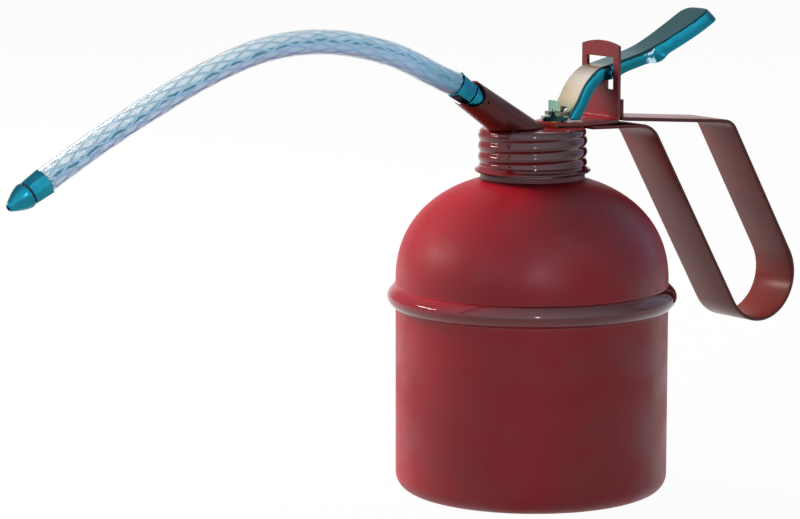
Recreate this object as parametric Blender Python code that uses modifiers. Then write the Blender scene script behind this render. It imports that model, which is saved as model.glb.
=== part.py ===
"""Pump oil can with a thumb lever, a strap handle and a braided hose spout.

The can stands on the XY plane with its axis on Z. The spout points to -X,
the handle and the lever to +X, and the whole head is symmetric about Y = 0.
The pump barrel hangs beside the axis, under the lever's nose.
"""
from math import atan2, cos, hypot, pi, radians, sin, sqrt

import bmesh
import bpy
import numpy as np
from mathutils import Matrix, Vector

MM = 0.001

# clearances
GAP = 0.3 * MM                # between pieces that touch, seat or slide
THREAD_GAP = 0.45 * MM        # radial clearance between cap and neck threads

# can body
CAN_RADIUS = 45.0 * MM
CAN_SHEET = 0.6 * MM
BASE_CORNER = 5.5 * MM        # outside radius where wall meets base
CUP_HEIGHT = 64.8 * MM        # height of the seam bead's middle
BEAD_PROUD = 2.8 * MM
BEAD_HEIGHT = 6.6 * MM
DOME_RISE = 35.6 * MM
DOME_POWER = 2.23             # superellipse exponent of the dome
SEAM_TO_DOME = 5.0 * MM       # straight wall between bead and dome
COLLAR_HEIGHT = 2.0 * MM

# threaded neck and screw cap
THREAD_PITCH = 3.6 * MM
THREAD_WAVE = 0.38 * MM       # half the depth of the rolled thread
CAP_RADIUS = 17.6 * MM        # mean radius of the ribbed skirt
COLLAR_STEP = 0.4 * MM        # collar's radius below that of the cap
CAP_SHEET = 0.5 * MM
CAP_HEIGHT = 14.6 * MM
CAP_SHOULDER = 1.5 * MM
LIP_PROUD = 1.55 * MM
LIP_HEIGHT = 2.2 * MM
LIP_HEM = 0.9 * MM            # the lip's widest ring above its lower edge
NECK_SHEET = 0.5 * MM
GASKET_WIDTH = 1.3 * MM
GASKET_THICKNESS = 1.1 * MM

# lever bracket
BRACKET_WIDTH = 18.6 * MM
BRACKET_SHEET = 1.2 * MM
BRACKET_REACH = 19.55 * MM    # front face of the upright behind the pump's axis
BRACKET_RISE = 24.1 * MM      # top corners above the foot's upper face
BRACKET_ARCH = 1.5 * MM
BRACKET_BEND = 1.6 * MM
FOOT_AHEAD = 4.65 * MM         # foot's narrow end ahead of the pump's axis
FOOT_END_WIDTH = 10.4 * MM
FOOT_TAPER = 5.95 * MM         # where its taper ends, behind that axis
WINDOW_WIDTH = 13.4 * MM
WINDOW_TOP = 20.3 * MM        # above the foot's upper face
WINDOW_BOTTOM = 9.6 * MM
CRADLE_WIDTH = 6.2 * MM

# lever and its pin
PIVOT_RISE = 15.0 * MM        # above the foot's upper face
PIN_RADIUS = 1.1 * MM
LEVER_SHEET = 1.2 * MM
LEVER_WIDTH = 11.2 * MM
PAD_WIDTH = 13.7 * MM          # across the pad's flat top
PAD_CORNER = 4.6 * MM
PAD_START = 43.0 * MM         # along the web from the nose
PAD_END = 66.0 * MM
SPLAY_START = 43.8 * MM       # where the flanges turn outward
SPLAY_END = 46.8 * MM
SPLAY = radians(32.0)
KINK_REACH = 44.2 * MM       # the flange's lower corner, where it starts to turn
KINK_DROP = 1.3 * MM
LEVER_ROWS = 32
NOSE_ROWS = 2                 # rows of the nose that have ears only
FLANGE_DEPTH = 4.1 * MM
PAD_FLANGE = 4.9 * MM
PIVOT_LUG = 0.8 * MM          # extra flange depth under the pin
FOLD_RADIUS = 1.25 * MM
TINE_WIDTH = 2.3 * MM         # the two tines of the nose, one each side of the rod
TINE_PROUD = 0.35 * MM        # past the rod's head plate
FORK_DEPTH = 1.5 * MM         # from the web's lower edge down to the tines
LEVER_TRAVEL = radians(17.0)

# strap handle
STRAP_WIDTH = 18.6 * MM
STRAP_SHEET = 1.2 * MM
STRAP_TAB_RISE = 6.4 * MM     # upturned end behind the bracket
HANDLE_TURN_X = 94.8 * MM
HANDLE_TURN_DROP = 59.1 * MM  # loop centre below the foot's upper face
HANDLE_TURN_RADIUS = 15.0 * MM
UPPER_BEND_X = 80.1 * MM
UPPER_BEND_DROP = 4.3 * MM
UPPER_BEND_RADIUS = 6.0 * MM
LOWER_BEND_X = 44.1 * MM
LOWER_BEND_SAG = 1.1 * MM
LOWER_BEND_RADIUS = 9.0 * MM

# spout socket, hose and nozzle
SOCKET_AHEAD = 16.35 * MM     # from the pump's axis to where the spout's meets the cap
SOCKET_RISE = radians(33.0)
SOCKET_LENGTH = 19.9 * MM
SOCKET_BASE_RADIUS = 5.95 * MM
SOCKET_MOUTH_RADIUS = 5.15 * MM
SOCKET_SHEET = 0.75 * MM
MOUTH_LIP = 3.2 * MM          # how far the upper pointed lip reaches out
LOWER_LIP = 5.6 * MM
MOUTH_SCOOP = 4.45 * MM       # radius of the round cut between the lips
STAKE_RADIUS = 0.4 * MM
HOSE_RADIUS = 4.0 * MM
HOSE_BORE = 2.3 * MM
HOSE_CRIMPED = 3.45 * MM
HOSE_SWELL = 1.3 * MM         # from the crimped to the full width
STEM_RADIUS = 1.8 * MM
STEM_BORE = 1.2 * MM
FERRULE_WALL = 0.5 * MM
FERRULE_LENGTH = 6.0 * MM
FERRULE_TAPER = 0.45 * MM
UNION_LENGTH = 7.3 * MM
UNION_PROUD = 3.2 * MM        # past the socket's mouth
STEM_FOOT = 3.0 * MM          # below the cap's top
STEM_REACH = 5.5 * MM         # inside the hose
NOZZLE_RADIUS = 4.05 * MM
NOZZLE_LENGTH = 6.4 * MM
NOZZLE_NECK = 1.2 * MM        # groove between ferrule and cone
HOSE_SPAN = 167.1 * MM        # from the mouth to the hose's end, level
HOSE_CREST = 21.8 * MM        # highest point above the mouth
NOZZLE_TIP = 1.1 * MM
NOZZLE_BORE = 0.7 * MM

# pump
PUMP_INSET = 3.05 * MM        # between the barrel and the cap's mean radius
ROD_RADIUS = 1.25 * MM
HEAD_WIDTH = 5.0 * MM         # flattened head of the rod, across
HEAD_SHEET = 1.0 * MM
HEAD_HEIGHT = 3.4 * MM
BARREL_RADIUS = 5.5 * MM
BARREL_WALL = 0.6 * MM
BARREL_LENGTH = 29.7 * MM
BARREL_HEAD = 1.5 * MM
STUB_RADIUS = 3.0 * MM
STUFFING_RADIUS = 2.4 * MM
NUT_FLATS = 8.2 * MM
NUT_HEIGHT = 1.2 * MM
NUT_ROOF = 0.5 * MM
PISTON_LENGTH = 3.0 * MM
PISTON_FLOOR = 0.8 * MM
CUP_LENGTH = 2.2 * MM
SPRING_WIRE = 0.45 * MM
SPRING_RADIUS = 3.0 * MM
SPRING_TURNS = 5
SPRING_LENGTH = 16.4 * MM
PORT_DROP = 4.5 * MM          # outlet below the barrel's top
PIPE_BEND = 3.0 * MM
VALVE_LENGTH = 11.7 * MM
VALVE_SPIGOT = 3.0 * MM
BALL_RADIUS = 2.2 * MM
BALL_LIFT = 1.0 * MM
TUBE_RADIUS = 2.2 * MM
TUBE_BORE = 1.6 * MM
TUBE_GRIP = 4.0 * MM
STRAINER_RADIUS = 4.6 * MM
STRAINER_LENGTH = 11.0 * MM
STRAINER_FLOOR_GAP = 4.0 * MM

# sizes, places and heights that follow
PUMP_X = CAP_RADIUS - BARREL_RADIUS - PUMP_INSET
BRACKET_X = PUMP_X + BRACKET_REACH
FOOT_START_X = PUMP_X - FOOT_AHEAD
FOOT_TAPER_X = PUMP_X + FOOT_TAPER
PIVOT_X = BRACKET_X + BRACKET_SHEET / 2
COLLAR_RADIUS = CAP_RADIUS - COLLAR_STEP
BEAD_TOP_Z = CUP_HEIGHT + BEAD_HEIGHT / 2
DOME_Z = CUP_HEIGHT + SEAM_TO_DOME
COLLAR_Z = DOME_Z + DOME_RISE * (1 - (COLLAR_RADIUS / CAN_RADIUS) ** DOME_POWER) ** (1 / DOME_POWER)
COLLAR_TOP_Z = COLLAR_Z + COLLAR_HEIGHT
CAP_BOTTOM_Z = COLLAR_TOP_Z + GAP
CAP_TOP_Z = CAP_BOTTOM_Z + CAP_HEIGHT
CAP_UNDERSIDE_Z = CAP_TOP_Z - CAP_SHEET
FOOT_BOTTOM_Z = CAP_TOP_Z + GAP
FOOT_Z = FOOT_BOTTOM_Z + BRACKET_SHEET
PIVOT_Z = FOOT_Z + PIVOT_RISE
NUT_BOTTOM_Z = FOOT_Z + GAP
NUT_TOP_Z = NUT_BOTTOM_Z + NUT_HEIGHT
TINE_Z = NUT_TOP_Z + GAP + LEVER_SHEET
HEAD_FOOT_Z = TINE_Z + GAP
BARREL_TOP_Z = CAP_UNDERSIDE_Z - GAP
BARREL_BOTTOM_Z = BARREL_TOP_Z - BARREL_LENGTH
PISTON_TOP_Z = BARREL_TOP_Z - BARREL_HEAD - 2 * GAP - SPRING_LENGTH
VALVE_TOP_Z = BARREL_BOTTOM_Z - GAP
VALVE_BOTTOM_Z = VALVE_TOP_Z - VALVE_LENGTH
GASKET_TOP_Z = CAP_UNDERSIDE_Z - GAP
NECK_TOP_Z = GASKET_TOP_Z - GASKET_THICKNESS - GAP
NECK_RADIUS = CAP_RADIUS - CAP_SHEET - THREAD_GAP
NECK_FOOT_RADIUS = COLLAR_RADIUS - CAN_SHEET - GAP

# directions and points of the spout
SPOUT_DIRECTION = Vector((-cos(SOCKET_RISE), 0, sin(SOCKET_RISE)))
SPOUT_ROOT = Vector((PUMP_X - SOCKET_AHEAD, 0, CAP_TOP_Z))
MOUTH = SPOUT_ROOT + SPOUT_DIRECTION * SOCKET_LENGTH
# the hose's way past the mouth, chosen by hand: shares of its span and of its crest
HOSE_ROUTE = [(0.0846, 0.355), (0.2045, 0.76), (0.344, 0.99), (0.481, 0.965), (0.6135, 0.684),
              (0.743, 0.262), (0.871, -0.216), (1.0, -0.77)]

ROUND_STEPS = 44
SMALL_STEPS = 24


def paint(mesh, name, look):
    """Give a mesh its own Principled material from a colour, roughness, metallic and alpha."""
    colour, roughness, metallic, alpha = look
    made = bpy.data.materials.new(name + "_finish")
    made.use_nodes = True
    shader = made.node_tree.nodes["Principled BSDF"]
    shader.inputs["Base Color"].default_value = (*colour, 1.0)
    shader.inputs["Roughness"].default_value = roughness
    shader.inputs["Metallic"].default_value = metallic
    shader.inputs["Alpha"].default_value = alpha
    mesh.materials.clear()
    mesh.materials.append(made)


def new_collection(name):
    made = bpy.data.collections.new(name)
    bpy.context.scene.collection.children.link(made)
    return made


def mesh_object(name, verts, edges, faces, finish, place=None, group=None):
    """An object from points, edges and faces, put at its place matrix."""
    mesh = bpy.data.meshes.new(name)
    mesh.from_pydata([tuple(v) for v in verts], edges, faces)
    mesh.update()
    made = bpy.data.objects.new(name, mesh)
    (group or PIECES).objects.link(made)
    if finish:
        paint(mesh, name, finish)
    if place is not None:
        made.matrix_world = place
    return made


def arc(centre, radius, start, end, count):
    """Points on an arc, from the start angle to the end angle in degrees."""
    angles = np.radians(np.linspace(start, end, count))
    return [(centre[0] + radius * cos(a), centre[1] + radius * sin(a)) for a in angles]


def turned(name, profile, finish, steps=SMALL_STEPS, place=None, closed=False, group=None):
    """A profile of (radius, height) points turned about Z with a Screw modifier."""
    count = len(profile)
    edges = [(i, i + 1) for i in range(count - 1)]
    if closed:
        edges.append((count - 1, 0))
    made = mesh_object(name, [(r, 0, z) for r, z in profile], edges, [], finish, place, group)
    screw = made.modifiers.new("Turn", "SCREW")
    screw.axis = "Z"
    screw.angle = 2 * pi
    screw.steps = steps
    screw.render_steps = steps
    screw.use_merge_vertices = True
    screw.merge_threshold = 0.00001
    screw.use_smooth_shade = True
    return made


def box_cutter(name, low, high):
    """A box between two corners, used only to cut."""
    mesh = bpy.data.meshes.new(name)
    shape = bmesh.new()
    bmesh.ops.create_cube(shape, size=1.0)
    size = Vector(high) - Vector(low)
    middle = (Vector(high) + Vector(low)) / 2
    shape.transform(Matrix.Translation(middle) @ Matrix.Diagonal((*size, 1.0)))
    shape.to_mesh(mesh)
    shape.free()
    return as_cutter(bpy.data.objects.new(name, mesh))


def rod_shape(name, start, end, radius, steps=SMALL_STEPS):
    """A closed cylinder between two points, as a mesh object not yet linked."""
    axis = Vector(end) - Vector(start)
    turn = Vector((0, 0, 1)).rotation_difference(axis).to_matrix().to_4x4()
    mesh = bpy.data.meshes.new(name)
    shape = bmesh.new()
    bmesh.ops.create_cone(shape, cap_ends=True, segments=steps, radius1=radius,
                          radius2=radius, depth=axis.length)
    middle = (Vector(start) + Vector(end)) / 2
    shape.transform(Matrix.Translation(middle) @ turn)
    shape.to_mesh(mesh)
    shape.free()
    return bpy.data.objects.new(name, mesh)


def as_cutter(made):
    CUTTERS.objects.link(made)
    made.hide_render = True
    made.display_type = "WIRE"
    return made


def rod_cutter(name, start, end, radius, steps=SMALL_STEPS):
    return as_cutter(rod_shape(name, start, end, radius, steps))


def apply_boolean(target, other, operation):
    """Cut, join or intersect with the exact solver."""
    step = target.modifiers.new(operation.title(), "BOOLEAN")
    step.operation = operation
    step.object = other
    step.solver = "EXACT"


def thicken(made, thickness, offset):
    step = made.modifiers.new("Sheet", "SOLIDIFY")
    step.thickness = thickness
    step.offset = offset
    step.use_even_offset = True


def filleted(corners, radii, spacing=radians(11.0)):
    """A polyline through the corners with each inner corner rounded by its radius."""
    points = [corners[0]]
    for before, corner, after, radius in zip(corners, corners[1:], corners[2:], radii):
        into = Vector(before) - Vector(corner)
        out = Vector(after) - Vector(corner)
        half = into.angle(out) / 2
        reach = radius / np.tan(half)
        centre = Vector(corner) + (into.normalized() + out.normalized()).normalized() * (radius / sin(half))
        first = Vector(corner) + into.normalized() * reach - centre
        last = Vector(corner) + out.normalized() * reach - centre
        start = atan2(first.y, first.x)
        sweep = (atan2(last.y, last.x) - start + pi) % (2 * pi) - pi
        count = max(2, int(abs(sweep) / spacing) + 1)
        for step in range(count + 1):
            angle = start + sweep * step / count
            points.append((centre.x + radius * cos(angle), centre.y + radius * sin(angle)))
    points.append(corners[-1])
    return points


def tangent_point(outside, centre, radius, side):
    """Where a line from an outside point touches a circle, on the chosen side."""
    away = Vector(outside) - Vector(centre)
    bearing = atan2(away.y, away.x) + side * np.arccos(radius / away.length)
    return (centre[0] + radius * cos(bearing), centre[1] + radius * sin(bearing))


def ribbon(name, path, width, thickness, finish):
    """A flat strip: an XZ path drawn out along Y, with its sheet thickness."""
    mesh = bpy.data.meshes.new(name)
    shape = bmesh.new()
    chain = [shape.verts.new((x, -width / 2, z)) for x, z in path]
    edges = [shape.edges.new(pair) for pair in zip(chain, chain[1:])]
    swept = bmesh.ops.extrude_edge_only(shape, edges=edges)
    moved = [item for item in swept["geom"] if isinstance(item, bmesh.types.BMVert)]
    bmesh.ops.translate(shape, verts=moved, vec=(0, width, 0))
    shape.to_mesh(mesh)
    shape.free()
    paint(mesh, name, finish)
    made = bpy.data.objects.new(name, mesh)
    PIECES.objects.link(made)
    thicken(made, thickness, 0.0)
    return made


def smooth_route(knots, spacing):
    """Catmull-Rom curve through the knots, read at even spacing."""
    knots = [Vector(k) for k in knots]
    padded = [2 * knots[0] - knots[1], *knots, 2 * knots[-1] - knots[-2]]
    dense = []
    for a, b, c, d in zip(padded, padded[1:], padded[2:], padded[3:]):
        for t in np.linspace(0, 1, 12, endpoint=False):
            dense.append(0.5 * (2 * b + (c - a) * t + (2 * a - 5 * b + 4 * c - d) * t * t
                                + (3 * b - a - 3 * c + d) * t ** 3))
    dense.append(knots[-1])
    dense = np.array(dense)
    reach = np.concatenate([[0], np.cumsum(np.linalg.norm(np.diff(dense, axis=0), axis=1))])
    count = int(round(reach[-1] / spacing))
    stops = np.linspace(0, reach[-1], count + 1)
    return np.column_stack([np.interp(stops, reach, dense[:, k]) for k in range(dense.shape[1])])


def tube_mesh(name, points, radii, sides, capped):
    """A round tube along a poly curve, made a mesh with its ends welded."""
    curve = bpy.data.curves.new(name, "CURVE")
    curve.dimensions = "3D"
    curve.bevel_depth = 1.0
    curve.bevel_resolution = sides // 2 - 2
    curve.use_fill_caps = capped
    spline = curve.splines.new("POLY")
    spline.points.add(len(points) - 1)
    for target, point, radius in zip(spline.points, points, radii):
        target.co = (*point, 1.0)
        target.radius = radius
    guide = bpy.data.objects.new(name + "_guide", curve)
    bpy.context.scene.collection.objects.link(guide)
    graph = bpy.context.evaluated_depsgraph_get()
    mesh = bpy.data.meshes.new_from_object(guide.evaluated_get(graph))
    bpy.data.objects.remove(guide)
    shape = bmesh.new()
    shape.from_mesh(mesh)
    bmesh.ops.remove_doubles(shape, verts=shape.verts, dist=0.00001)
    bmesh.ops.recalc_face_normals(shape, faces=shape.faces)
    shape.to_mesh(mesh)
    shape.free()
    return mesh


def tube(name, points, radius, finish, bore=None, sides=12):
    """A pipe along points: solid, or bored out with a second tube."""
    mesh = tube_mesh(name, points, [radius] * len(points), sides, True)
    paint(mesh, name, finish)
    made = bpy.data.objects.new(name, mesh)
    PIECES.objects.link(made)
    if bore:
        first = Vector(points[0]) + (Vector(points[0]) - Vector(points[1])).normalized() * GAP
        last = Vector(points[-1]) + (Vector(points[-1]) - Vector(points[-2])).normalized() * GAP
        inner = tube_mesh(name + "_bore", [first, *points[1:-1], last], [bore] * len(points), sides, True)
        apply_boolean(made, as_cutter(bpy.data.objects.new(name + "_bore", inner)), "DIFFERENCE")
    return made


def along(origin, direction):
    """The place matrix of a turned piece whose Z axis lies along a direction."""
    turn = Vector((0, 0, 1)).rotation_difference(Vector(direction)).to_matrix().to_4x4()
    return Matrix.Translation(origin) @ turn


def threaded_shell(name, rows, steps, thickness, finish):
    """A turned shell pushed in and out along a right-hand helix where its rows ask for it."""
    guide = turned(name + "_guide", [(radius, height) for radius, height, share in rows], finish, steps)
    graph = bpy.context.evaluated_depsgraph_get()
    mesh = bpy.data.meshes.new_from_object(guide.evaluated_get(graph))
    bpy.data.objects.remove(guide)
    mesh.name = name
    heights = [height for radius, height, share in rows][::-1]
    shares = [share for radius, height, share in rows][::-1]
    for vert in mesh.vertices:
        across = Vector((vert.co.x, vert.co.y, 0))
        turn = atan2(across.y, across.x)
        share = np.interp(vert.co.z, heights, shares) if across.length > COLLAR_RADIUS / 2 else 0
        wave = THREAD_WAVE * share * cos(2 * pi * (vert.co.z - CAP_BOTTOM_Z) / THREAD_PITCH - turn)
        vert.co += across.normalized() * wave
    paint(mesh, name, finish)
    made = bpy.data.objects.new(name, mesh)
    PIECES.objects.link(made)
    thicken(made, thickness, -1.0)
    return made


def build_lower_cup(finish):
    """Drawn cup: flat base, rounded corner and straight wall up into the seam."""
    inner_corner = BASE_CORNER - CAN_SHEET
    rim_z = BEAD_TOP_Z - 1.5 * MM
    inner_radius = CAN_RADIUS - CAN_SHEET
    centre = (CAN_RADIUS - BASE_CORNER, BASE_CORNER)
    profile = [(0, CAN_SHEET)]
    profile += arc(centre, inner_corner, -90, 0, 5)
    profile += [(inner_radius, rim_z), (CAN_RADIUS, rim_z)]
    profile += arc(centre, BASE_CORNER, 0, -90, 7)
    profile += [(0, 0)]
    turned("lower_cup", profile, finish, ROUND_STEPS)


def dome_outline(radius, rise, power, count):
    """Superellipse from its foot up to the collar, as (radius, height) points."""
    turn = np.linspace(0, 1, count)
    last = np.arccos(min(1.0, (COLLAR_RADIUS / CAN_RADIUS) ** (power / 2)))
    return [(radius * cos(a) ** (2 / power), DOME_Z + rise * sin(a) ** (2 / power)) for a in turn * last]


def build_dome_top(finish):
    """Drawn dome with a collar, whose rolled bead grips the cup's rim."""
    inside = CAN_SHEET
    outer = [(COLLAR_RADIUS, COLLAR_TOP_Z), (COLLAR_RADIUS, COLLAR_Z + 0.5 * MM)]
    dome = dome_outline(CAN_RADIUS, DOME_RISE, DOME_POWER, 12)
    inner_dome = dome_outline(CAN_RADIUS - inside, DOME_RISE - inside, DOME_POWER, 9)
    outer += dome[::-1][1:]
    bead = []
    for share in np.linspace(0, 1, 7):
        bead.append((CAN_RADIUS + BEAD_PROUD * sin(pi * (0.06 + 0.86 * share)) ** 0.8,
                     BEAD_TOP_Z - BEAD_HEIGHT * share))
    outer += [(CAN_RADIUS, BEAD_TOP_Z + 0.4 * MM)] + bead
    lip_radius = bead[-1][0]
    inner = [(CAN_RADIUS + GAP, CUP_HEIGHT - BEAD_HEIGHT / 2)]
    for share in (0.8, 0.5, 0.2):
        proud = BEAD_PROUD * sin(pi * (0.06 + 0.86 * share)) ** 0.8
        inner.append((max(CAN_RADIUS + GAP, CAN_RADIUS + proud - inside), BEAD_TOP_Z - BEAD_HEIGHT * share))
    inner += [(CAN_RADIUS - inside, BEAD_TOP_Z + 0.2 * MM)]
    inner += inner_dome[:-1]
    inner += [(COLLAR_RADIUS - inside, COLLAR_Z - 0.2 * MM), (COLLAR_RADIUS - inside, COLLAR_TOP_Z)]
    assert lip_radius > CAN_RADIUS + GAP
    turned("dome_top", outer + inner, finish, ROUND_STEPS, closed=True)


def thread_rows(radius, top, bottom, per_pitch=5):
    """Rows down a threaded wall; the wave fades in over the first and last row."""
    count = int(round((top - bottom) / THREAD_PITCH * per_pitch))
    heights = np.linspace(top, bottom, count + 1)
    return [(radius, z, 0.0 if z in (heights[0], heights[-1]) else 1.0) for z in heights]


def build_threaded_neck(finish):
    """Rolled-thread ring seated in the dome's collar."""
    rows = [(NECK_RADIUS - 1.2 * MM, NECK_TOP_Z, 0.0), (NECK_RADIUS - 0.4 * MM, NECK_TOP_Z, 0.0)]
    rows += thread_rows(NECK_RADIUS, NECK_TOP_Z - 0.4 * MM, CAP_BOTTOM_Z + 0.6 * MM)
    rows += [(NECK_FOOT_RADIUS, COLLAR_TOP_Z - GAP, 0.0), (NECK_FOOT_RADIUS, COLLAR_Z - 2.0 * MM, 0.0)]
    threaded_shell("threaded_neck", rows, SMALL_STEPS, NECK_SHEET, finish)


def build_cap_gasket(finish):
    """Flat ring that seals the cap on the neck's rim."""
    outer = NECK_RADIUS - 0.3 * MM
    inner = outer - GASKET_WIDTH
    bottom = GASKET_TOP_Z - GASKET_THICKNESS
    profile = [(outer, GASKET_TOP_Z), (outer, bottom), (inner, bottom), (inner, GASKET_TOP_Z)]
    turned("cap_gasket", profile, finish, SMALL_STEPS, closed=True)


def build_screw_cap(finish):
    """Cap whose rolled thread shows outside as ribs, with a flared lip."""
    shoulder = (CAP_RADIUS - CAP_SHOULDER, CAP_TOP_Z - CAP_SHOULDER)
    rows = [(0.0, CAP_TOP_Z, 0.0), (CAP_RADIUS * 0.6, CAP_TOP_Z, 0.0)]
    rows += [(r, z, 0.0) for r, z in arc(shoulder, CAP_SHOULDER, 90, 18, 4)]
    rows += thread_rows(CAP_RADIUS, CAP_TOP_Z - CAP_SHOULDER, CAP_BOTTOM_Z + LIP_HEIGHT, 5)
    rows += [(CAP_RADIUS + 0.55 * LIP_PROUD, CAP_BOTTOM_Z + 1.5 * LIP_HEM, 0.0),
             (CAP_RADIUS + LIP_PROUD, CAP_BOTTOM_Z + LIP_HEM, 0.0),
             (CAP_RADIUS + LIP_PROUD - 0.2 * MM, CAP_BOTTOM_Z + 0.4 * LIP_HEM, 0.0)]
    cap = threaded_shell("screw_cap", rows, 32, CAP_SHEET, finish)
    middle = Vector((PUMP_X, 0, CAP_TOP_Z))
    apply_boolean(cap, rod_cutter("stub_hole", middle - Vector((0, 0, 0.002)), middle + Vector((0, 0, 0.002)),
                                  STUB_RADIUS + GAP), "DIFFERENCE")
    apply_boolean(cap, rod_cutter("stem_hole", SPOUT_ROOT - SPOUT_DIRECTION * 0.006,
                                  SPOUT_ROOT + SPOUT_DIRECTION * 0.006, STEM_RADIUS + GAP), "DIFFERENCE")


def build_lever_bracket(finish):
    """Foot on the cap and upright with the lever's window, folded from one strip."""
    middle_z = FOOT_BOTTOM_Z + BRACKET_SHEET / 2
    top_z = FOOT_Z + BRACKET_RISE
    corners = [(FOOT_START_X, middle_z), (PIVOT_X, middle_z), (PIVOT_X, top_z + BRACKET_ARCH)]
    made = ribbon("lever_bracket", filleted(corners, [BRACKET_BEND]), BRACKET_WIDTH, BRACKET_SHEET, finish)
    window_half = WINDOW_WIDTH / 2
    cradle_half = CRADLE_WIDTH / 2
    front = BRACKET_X - 0.004
    back = BRACKET_X + 0.006
    cradle_bore = PIN_RADIUS + GAP + 0.1 * MM
    ledge_z = PIVOT_Z - cradle_bore - BRACKET_SHEET * 0.5
    apply_boolean(made, box_cutter("window_top", (front, -window_half, ledge_z),
                                   (back, window_half, FOOT_Z + WINDOW_TOP)), "DIFFERENCE")
    for side in (-1, 1):
        near, far = sorted((side * cradle_half, side * window_half))
        apply_boolean(made, box_cutter("window_slot", (front, near, FOOT_Z + WINDOW_BOTTOM),
                                       (back, far, ledge_z + 0.1 * MM)), "DIFFERENCE")
    # arch: what lies outside a large circle through the top corners goes
    half = BRACKET_WIDTH / 2
    arch_radius = (half ** 2 + BRACKET_ARCH ** 2) / (2 * BRACKET_ARCH)
    centre_z = top_z + BRACKET_ARCH - arch_radius
    rise = [(y, centre_z + sqrt(arch_radius ** 2 - y ** 2)) for y in np.linspace(-half, half, 11)]
    outline = rise + [(half + 0.002, top_z), (half + 0.002, top_z + 0.01), (-half - 0.002, top_z + 0.01),
                      (-half - 0.002, top_z)]
    apply_boolean(made, prism_cutter("arch_cut", outline, front, back, on_x), "DIFFERENCE")
    # the foot narrows towards the middle of the cap
    for side in (-1, 1):
        taper = [(FOOT_START_X - 0.001, side * FOOT_END_WIDTH / 2), (FOOT_TAPER_X, side * half),
                 (FOOT_TAPER_X, side * (half + 0.002)), (FOOT_START_X - 0.001, side * (half + 0.002))]
        apply_boolean(made, prism_cutter("foot_taper", taper, FOOT_BOTTOM_Z - 0.001, FOOT_Z + 0.001, on_z),
                      "DIFFERENCE")
    hole = Vector((PUMP_X, 0, FOOT_Z))
    apply_boolean(made, rod_cutter("foot_hole", hole - Vector((0, 0, 0.003)), hole + Vector((0, 0, 0.003)),
                                   STUB_RADIUS + GAP), "DIFFERENCE")
    # cradle: half ring under the lever's pin
    outer = arc((PIVOT_X, PIVOT_Z), cradle_bore + BRACKET_SHEET, 180, 360, 13)
    inner = arc((PIVOT_X, PIVOT_Z), cradle_bore, 360, 180, 13)
    cradle = prism_cutter("pin_cradle", outer + inner, -cradle_half, cradle_half, on_y)
    apply_boolean(made, cradle, "UNION")


def prism_mesh(name, outline, low, high, place):
    """A closed outline of (u, v) points carried from low to high; place gives x, y, z."""
    shape = bmesh.new()
    face = shape.faces.new([shape.verts.new(place(u, v, low)) for u, v in outline])
    swept = bmesh.ops.extrude_face_region(shape, geom=[face])
    moved = [item for item in swept["geom"] if isinstance(item, bmesh.types.BMVert)]
    bmesh.ops.translate(shape, verts=moved, vec=Vector(place(0, 0, high)) - Vector(place(0, 0, low)))
    bmesh.ops.recalc_face_normals(shape, faces=shape.faces)
    mesh = bpy.data.meshes.new(name)
    shape.to_mesh(mesh)
    shape.free()
    return mesh


def prism_cutter(name, outline, low, high, place):
    return as_cutter(bpy.data.objects.new(name, prism_mesh(name, outline, low, high, place)))


def on_x(u, v, w):
    return (w, u, v)


def on_y(u, v, w):
    return (u, w, v)


def on_z(u, v, w):
    return (u, v, w)


def build_handle_strap(finish):
    """One strap: from under the foot, round the finger loop, back behind the upright."""
    lower_z = FOOT_BOTTOM_Z - GAP - STRAP_SHEET / 2
    upper_z = FOOT_Z - 0.1 * MM
    centre = (HANDLE_TURN_X, FOOT_Z - HANDLE_TURN_DROP)
    lower_bend = (LOWER_BEND_X, lower_z - LOWER_BEND_SAG)
    upper_bend = (UPPER_BEND_X, FOOT_Z - UPPER_BEND_DROP)
    left = tangent_point(lower_bend, centre, HANDLE_TURN_RADIUS, 1)
    right = tangent_point(upper_bend, centre, HANDLE_TURN_RADIUS, -1)
    start = atan2(left[1] - centre[1], left[0] - centre[0])
    end = atan2(right[1] - centre[1], right[0] - centre[0])
    start -= 2 * pi if start > end else 0
    loop = arc(centre, HANDLE_TURN_RADIUS, np.degrees(start), np.degrees(end), 15)
    tab_x = BRACKET_X + BRACKET_SHEET + GAP + STRAP_SHEET / 2
    lower = filleted([(CAP_RADIUS + THREAD_WAVE + GAP, lower_z), lower_bend, left], [LOWER_BEND_RADIUS])
    upper = filleted([right, upper_bend, (tab_x, upper_z), (tab_x, FOOT_Z + STRAP_TAB_RISE)],
                     [UPPER_BEND_RADIUS, BRACKET_BEND])
    ribbon("handle_strap", lower + loop[1:-1] + upper, STRAP_WIDTH, STRAP_SHEET, finish)


def lever_route():
    """The lever's upper face from the nose to the pad's end, counted from the pivot."""
    knots = [(-18.0, -13.5), (-14.6, -8.6), (-10.8, -2.8), (-5.6, 1.5), (0.0, 2.9), (13.8, 6.1),
             (22.5, 9.2), (32.8, 14.0), (41.6, 18.6), (45.5, 19.9)]
    return [(x * MM, z * MM) for x, z in knots]


def eased(value, low, high):
    """0 below low, 1 above high, and a smooth step between."""
    share = float(np.clip((value - low) / (high - low), 0, 1))
    return share * share * (3 - 2 * share)


def lever_rows(total, web_start):
    """Rows along the web: how far, half width, and the angle round the pad's corner."""
    straight = total - PAD_CORNER
    rows = []
    nose = np.linspace(0, web_start, NOSE_ROWS + 1)[:-1]
    for reach in np.concatenate([nose, np.linspace(web_start, straight, LEVER_ROWS - NOSE_ROWS)]):
        share = eased(reach, PAD_START, PAD_END)
        rows.append((reach, LEVER_WIDTH / 2 + (PAD_WIDTH - LEVER_WIDTH) / 2 * share, 0.0))
    rows += [(straight, PAD_WIDTH / 2, radians(angle)) for angle in (22.5, 45, 67.5, 90)]
    return rows


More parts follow.
